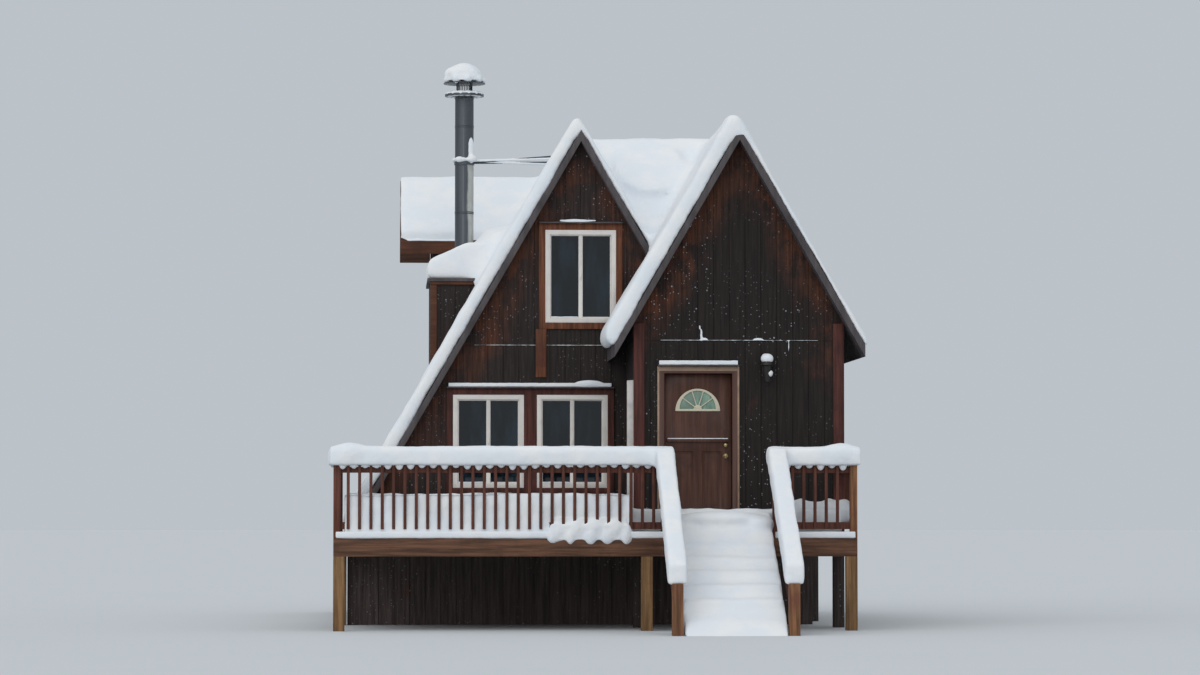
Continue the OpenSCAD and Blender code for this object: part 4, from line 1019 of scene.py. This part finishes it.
class CHALET_OT_deck_snow(ChaletOperator):
    """Snow on the deck and on the stair, with a soft roll over each step"""

    bl_idname = "chalet.deck_snow"
    bl_label = "Snow on the deck"

    def build(self, sizes, snow):
        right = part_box("rail_front_right")[0]
        left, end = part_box("rail_front_left")
        deck = sunk("snow_deck", 0.015)
        for k, turn in zip(range(5), wander(3)):
            deck.append(lump((right.x + 0.22 + k * 0.18, right.y + 0.52 + turn * 0.1,
                              DECK_TOP + 0.32), (0.16, 0.22, 0.18 + abs(turn) * 0.1)))
        deck.append(block((left.x + 0.10, left.y - 0.008, DECK_TOP),
                          (end.x - 0.45, left.y + 0.40, DECK_TOP + 0.57)))
        drift(deck, "deck_snow", snow.fine_grid * 1.75, snow.smooth_passes, 0.07, 0.5, "snow_deck")
        low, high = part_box("snow_stairs")
        stair = sunk("snow_stairs", 0.03)
        for k in range(1, STEPS_UP):
            y, z = high.y - k * TREAD_RUN, high.z - 0.17 - k * DECK_TOP / STEPS_UP
            stair.append(roll((low.x + 0.03, y, z), (high.x - 0.03, y, z), 0.13))
        stair += [lump(((low.x + high.x) / 2, high.y - 0.08, high.z - 0.10), (0.62, 0.26, 0.12)),
                  lump((high.x - 0.16, high.y - 0.12, high.z - 0.16), (0.20, 0.28, 0.12))]
        drift(stair, "stair_snow", snow.fine_grid * 1.5, 10, 0.03, 0.6, "snow_stairs")


def baluster_gaps(start, end, sizes):
    """Places between the balusters of a railing that runs from start to end"""
    room = end - start - 2 * sizes.rail_post - sizes.baluster_width
    count = math.floor(room / sizes.baluster_pitch + 1e-6)
    first = (start + end - (count - 1) * sizes.baluster_pitch) / 2
    return [first + (k + 0.5) * sizes.baluster_pitch for k in range(-1, count)]


# The heap that hangs over the rim: its bumps, as (across, half width, top), and its tongues
SPILL_BUMPS = ((-0.42, 0.13, 1.36), (-0.20, 0.13, 1.39), (0.04, 0.15, 1.41), (0.28, 0.14, 1.40),
               (0.44, 0.08, 1.33))
SPILL_TONGUES = (-0.49, 0.09), (-0.27, 0.07), (-0.02, 0.09), (0.19, 0.10), (0.42, 0.07)


class CHALET_OT_rail_snow(ChaletOperator):
    """Snow on the railings, sagging between the balusters, and along and over the deck's rim"""

    bl_idname = "chalet.rail_snow"
    bl_label = "Snow on the railings"

    def build(self, sizes, snow):
        low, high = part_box("snow_rails")
        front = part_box("rail_front_left")[0].y
        heap = sunk("snow_rails", 0.025)
        heap += [lump((x, front + 0.04, high.z - 0.11), (0.27, 0.15, 0.16))
                 for x in (low.x + 0.28, high.x - 0.28)]
        drift(heap, "rail_snow", snow.fine_grid, 44, 0.022, 0.35, "snow_rails")
        wide, foot = (sizes.baluster_pitch - sizes.baluster_width) * 0.53, DECK_TOP - 0.012
        teeth, strips, turns = [], [], wander(5)
        for node in ("rail_front_left", "rail_front_right"):
            low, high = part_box(node)
            for x in baluster_gaps(low.x, high.x, sizes):
                sag = snow.tooth_drop * (1 + 0.3 * next(turns))
                teeth.append(lump((x, low.y + 0.016, RAIL_TOP + 0.012), (wide, 0.040, sag)))
            strips.append(block((low.x + 0.02, low.y - 0.022, foot),
                                (high.x - 0.02, low.y + 0.11, DECK_TOP + 0.085)))
        drift(teeth, "rail_snow_teeth", 0.009, 2, 0.0, 0.1)
        for low, high in islands("rail_sides"):
            strips.append(block((low.x - 0.01, low.y, foot),
                                (high.x + 0.01, high.y, DECK_TOP + 0.08)))
        drift(strips, "rim_snow", 0.016, 5, 0.012, 0.3)
        heap = [block((-0.53, front - 0.026, DECK_TOP - 0.03), (0.47, front + 0.11, 1.32)),
                block((-0.50, front + 0.012, DECK_TOP), (0.44, front + 0.20, 1.42))]
        for x, wide, top in SPILL_BUMPS:
            heap.append(lump((x + 0.01 * next(turns), front + 0.03, top - 0.14),
                             (wide, 0.072, 0.14)))
        for x, wide in SPILL_TONGUES:
            z = DECK_TOP + 0.02 + 0.02 * next(turns)
            heap.append(lump((x, front, z), (wide, 0.050, 0.11)))
        drift(heap, "spilled_snow", 0.014, 12, 0.015, 0.2)


# Lumps on the wing's sheet joint, as (across, forward, above the joint, radii)
JOINT_LUMPS = (
    (1.47, 0.0, 0.07, (0.022, 0.012, 0.085)), (1.45, 0.0, 0.17, (0.018, 0.010, 0.035)),
    (1.51, 0.0, 0.02, (0.05, 0.014, 0.024)), (2.59, 0.004, -0.06, (0.013, 0.013, 0.085)),
    (2.20, 0.002, 0.02, (0.07, 0.014, 0.022)))


class CHALET_OT_small_snow(ChaletOperator):
    """Snow on the caps, ledges and the lantern, and the dust along the sheet joint"""

    bl_idname = "chalet.small_snow"
    bl_label = "Snow on caps and ledges"

    def build(self, sizes, snow):
        piles = []
        for low, high in islands("drip_caps"):
            middle, top = (low.x + high.x) / 2, high.z
            if middle < -0.3:
                piles += [block((low.x + 0.02, low.y + 0.008, top - 0.012),
                                (high.x - 0.03, high.y, top + 0.045)),
                          lump((high.x - 0.33, low.y + 0.045, top + 0.025), (0.21, 0.045, 0.060))]
            elif middle < 0.5:
                piles += [block((middle - 0.28, low.y + 0.008, top - 0.008),
                                (middle + 0.20, high.y, top + 0.022)),
                          lump((middle - 0.06, low.y + 0.035, top), (0.22, 0.034, 0.034))]
            else:
                piles.append(block((low.x + 0.01, low.y + 0.006, top - 0.012),
                                   (high.x - 0.01, high.y, top + 0.05)))
        low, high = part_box("porch_light")
        x, y = (low.x + high.x) / 2, low.y + 0.09
        piles += [lump((x, y, high.z - 0.045), (0.088, 0.082, 0.072)),
                  lump((x - 0.02, y + 0.055, high.z - 0.02), (0.05, 0.06, 0.05)),
                  lump((x + 0.03, y - 0.01, low.z + 0.12), (0.05, 0.045, 0.05))]
        for place, (width, _) in window_places():
            half = width / 2 - FRAME_BAR
            foot = block((-half, -0.002, FRAME_BAR - 0.004), (-0.03, 0.024, FRAME_BAR + 0.022))
            foot.data.transform(place)
            piles.append(foot)
        joint = sizes.joint_height
        front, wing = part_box("front_wall")[0].y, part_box("entry_gable")[0].y
        piles += [block((-1.40, front - 0.010, joint), (0.36, front + 0.006, joint + 0.008)),
                  block((0.94, wing - 0.016, joint - 0.002), (2.97, wing + 0.006, joint + 0.012))]
        piles += [lump((x, wing - y, joint + z), radii) for x, y, z, radii in JOINT_LUMPS]
        drift(piles, "ledge_snow", 0.009, 3, 0.008, 0.06)
        low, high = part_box("door_leaf")
        ledge = block((low.x + 0.04, low.y + 0.003, low.z + 1.147),
                      (high.x - 0.04, low.y + 0.024, low.z + 1.163))
        drift([ledge], "door_ledge_snow", 0.005, 2, 0.003, 0.04, body="door")


class CHALET_OT_stage(ChaletOperator):
    """Pale floor and backdrop, soft light, and the camera at the photograph's angle"""

    bl_idname = "chalet.stage"
    bl_label = "Stage"

    def build(self, sizes, snow):
        stage = settings()[3]
        floor = primitive(bpy.ops.mesh.primitive_circle_add, vertices=96, radius=400,
                          fill_type="NGON", location=(0, 3, GROUND))
        floor.name = "floor"
        skin = Finish("floor_paint", 0.9, Specular_IOR_Level=0.1)
        tone = skin.mix(skin.noise(0.25, 3), shaded(stage.floor, 0.97), stage.floor)
        floor.data.materials.append(skin.set(Base_Color=tone))
        floor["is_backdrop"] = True
        self.light(stage)
        self.camera(stage)

    def light(self, stage):
        """A soft lamp and an even sky light the chalet, and the backdrop shows behind it"""
        scene = bpy.context.scene
        scene.view_settings.view_transform = "Standard"
        scene.world = bpy.data.worlds.new("studio")
        scene.world.use_nodes = True
        nodes = Nodes(scene.world.node_tree)
        nodes.tree.nodes.clear()
        shown = nodes.add("ShaderNodeBackground", {0: stage.backdrop})
        sky = nodes.add("ShaderNodeBackground", {0: (0.93, 0.97, 1.0), 1: stage.sky_strength})
        ray = nodes.add("ShaderNodeLightPath").outputs
        seen = nodes.math("MAXIMUM", ray["Is Camera Ray"], ray["Is Glossy Ray"])
        seen = nodes.math("MAXIMUM", seen, ray["Is Transmission Ray"])
        mix = nodes.add("ShaderNodeMixShader", {0: seen, 1: sky.outputs[0], 2: shown.outputs[0]})
        nodes.add("ShaderNodeOutputWorld", {0: mix.outputs[0]})
        deselect()
        bpy.ops.object.light_add(type="SUN", location=(-12, -18, 26))
        lamp = bpy.context.object
        lamp.name = "soft_lamp"
        lamp.data.energy = stage.lamp_strength
        lamp.data.angle = math.radians(70)
        lamp.data.color = (1.0, 0.98, 0.95)
        lamp.rotation_euler = Vector((-0.34, -0.72, 0.68)).to_track_quat("Z", "Y").to_euler()

    def camera(self, stage):
        deselect()
        bpy.ops.object.camera_add(location=(-2.61, -52.0, 1.40))
        camera = bpy.context.object
        camera.name = "camera"
        camera.data.lens = stage.lens
        camera.data.clip_end = 1000
        aim = Vector((0.2, -1.0, 3.72)) - camera.location
        camera.rotation_euler = aim.to_track_quat("-Z", "Y").to_euler()
        bpy.context.scene.camera = camera


class CHALET_PT_panel(bpy.types.Panel):
    """Lists the chalet's values and steps"""

    bl_idname = "CHALET_PT_panel"
    bl_label = "Chalet"
    bl_space_type = "VIEW_3D"
    bl_region_type = "UI"
    bl_category = "Chalet"

    def draw(self, context):
        for group in settings():
            box = self.layout.box()
            for key in type(group).__annotations__:
                box.prop(group, key)
        for step in STEPS:
            self.layout.operator(step.bl_idname)


STEPS = (CHALET_OT_stage, CHALET_OT_siding, CHALET_OT_trim, CHALET_OT_roofs, CHALET_OT_windows,
         CHALET_OT_door, CHALET_OT_chimney, CHALET_OT_deck, CHALET_OT_roof_snow,
         CHALET_OT_deck_snow, CHALET_OT_rail_snow, CHALET_OT_small_snow)
GROUPS = {"chalet_sizes": ChaletSizes, "chalet_snow": ChaletSnow,
          "chalet_colours": ChaletColours, "chalet_stage": ChaletStage}


def register():
    for name, group in GROUPS.items():
        bpy.utils.register_class(group)
        setattr(bpy.types.Scene, name, PointerProperty(type=group))
    for item in (*STEPS, CHALET_PT_panel):
        bpy.utils.register_class(item)


def unregister():
    for item in reversed((*STEPS, CHALET_PT_panel)):
        bpy.utils.unregister_class(item)
    for name, group in reversed(GROUPS.items()):
        delattr(bpy.types.Scene, name)
        bpy.utils.unregister_class(group)


def main():
    register()
    for step in STEPS:
        getattr(bpy.ops.chalet, step.bl_idname.split(".")[1])()
    boxes = {"cad": CAD_BOX, "visual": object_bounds()}
    {name: [list(corner) for corner in box] for name, box in boxes.items()}


if __name__ == "__main__":
    main()
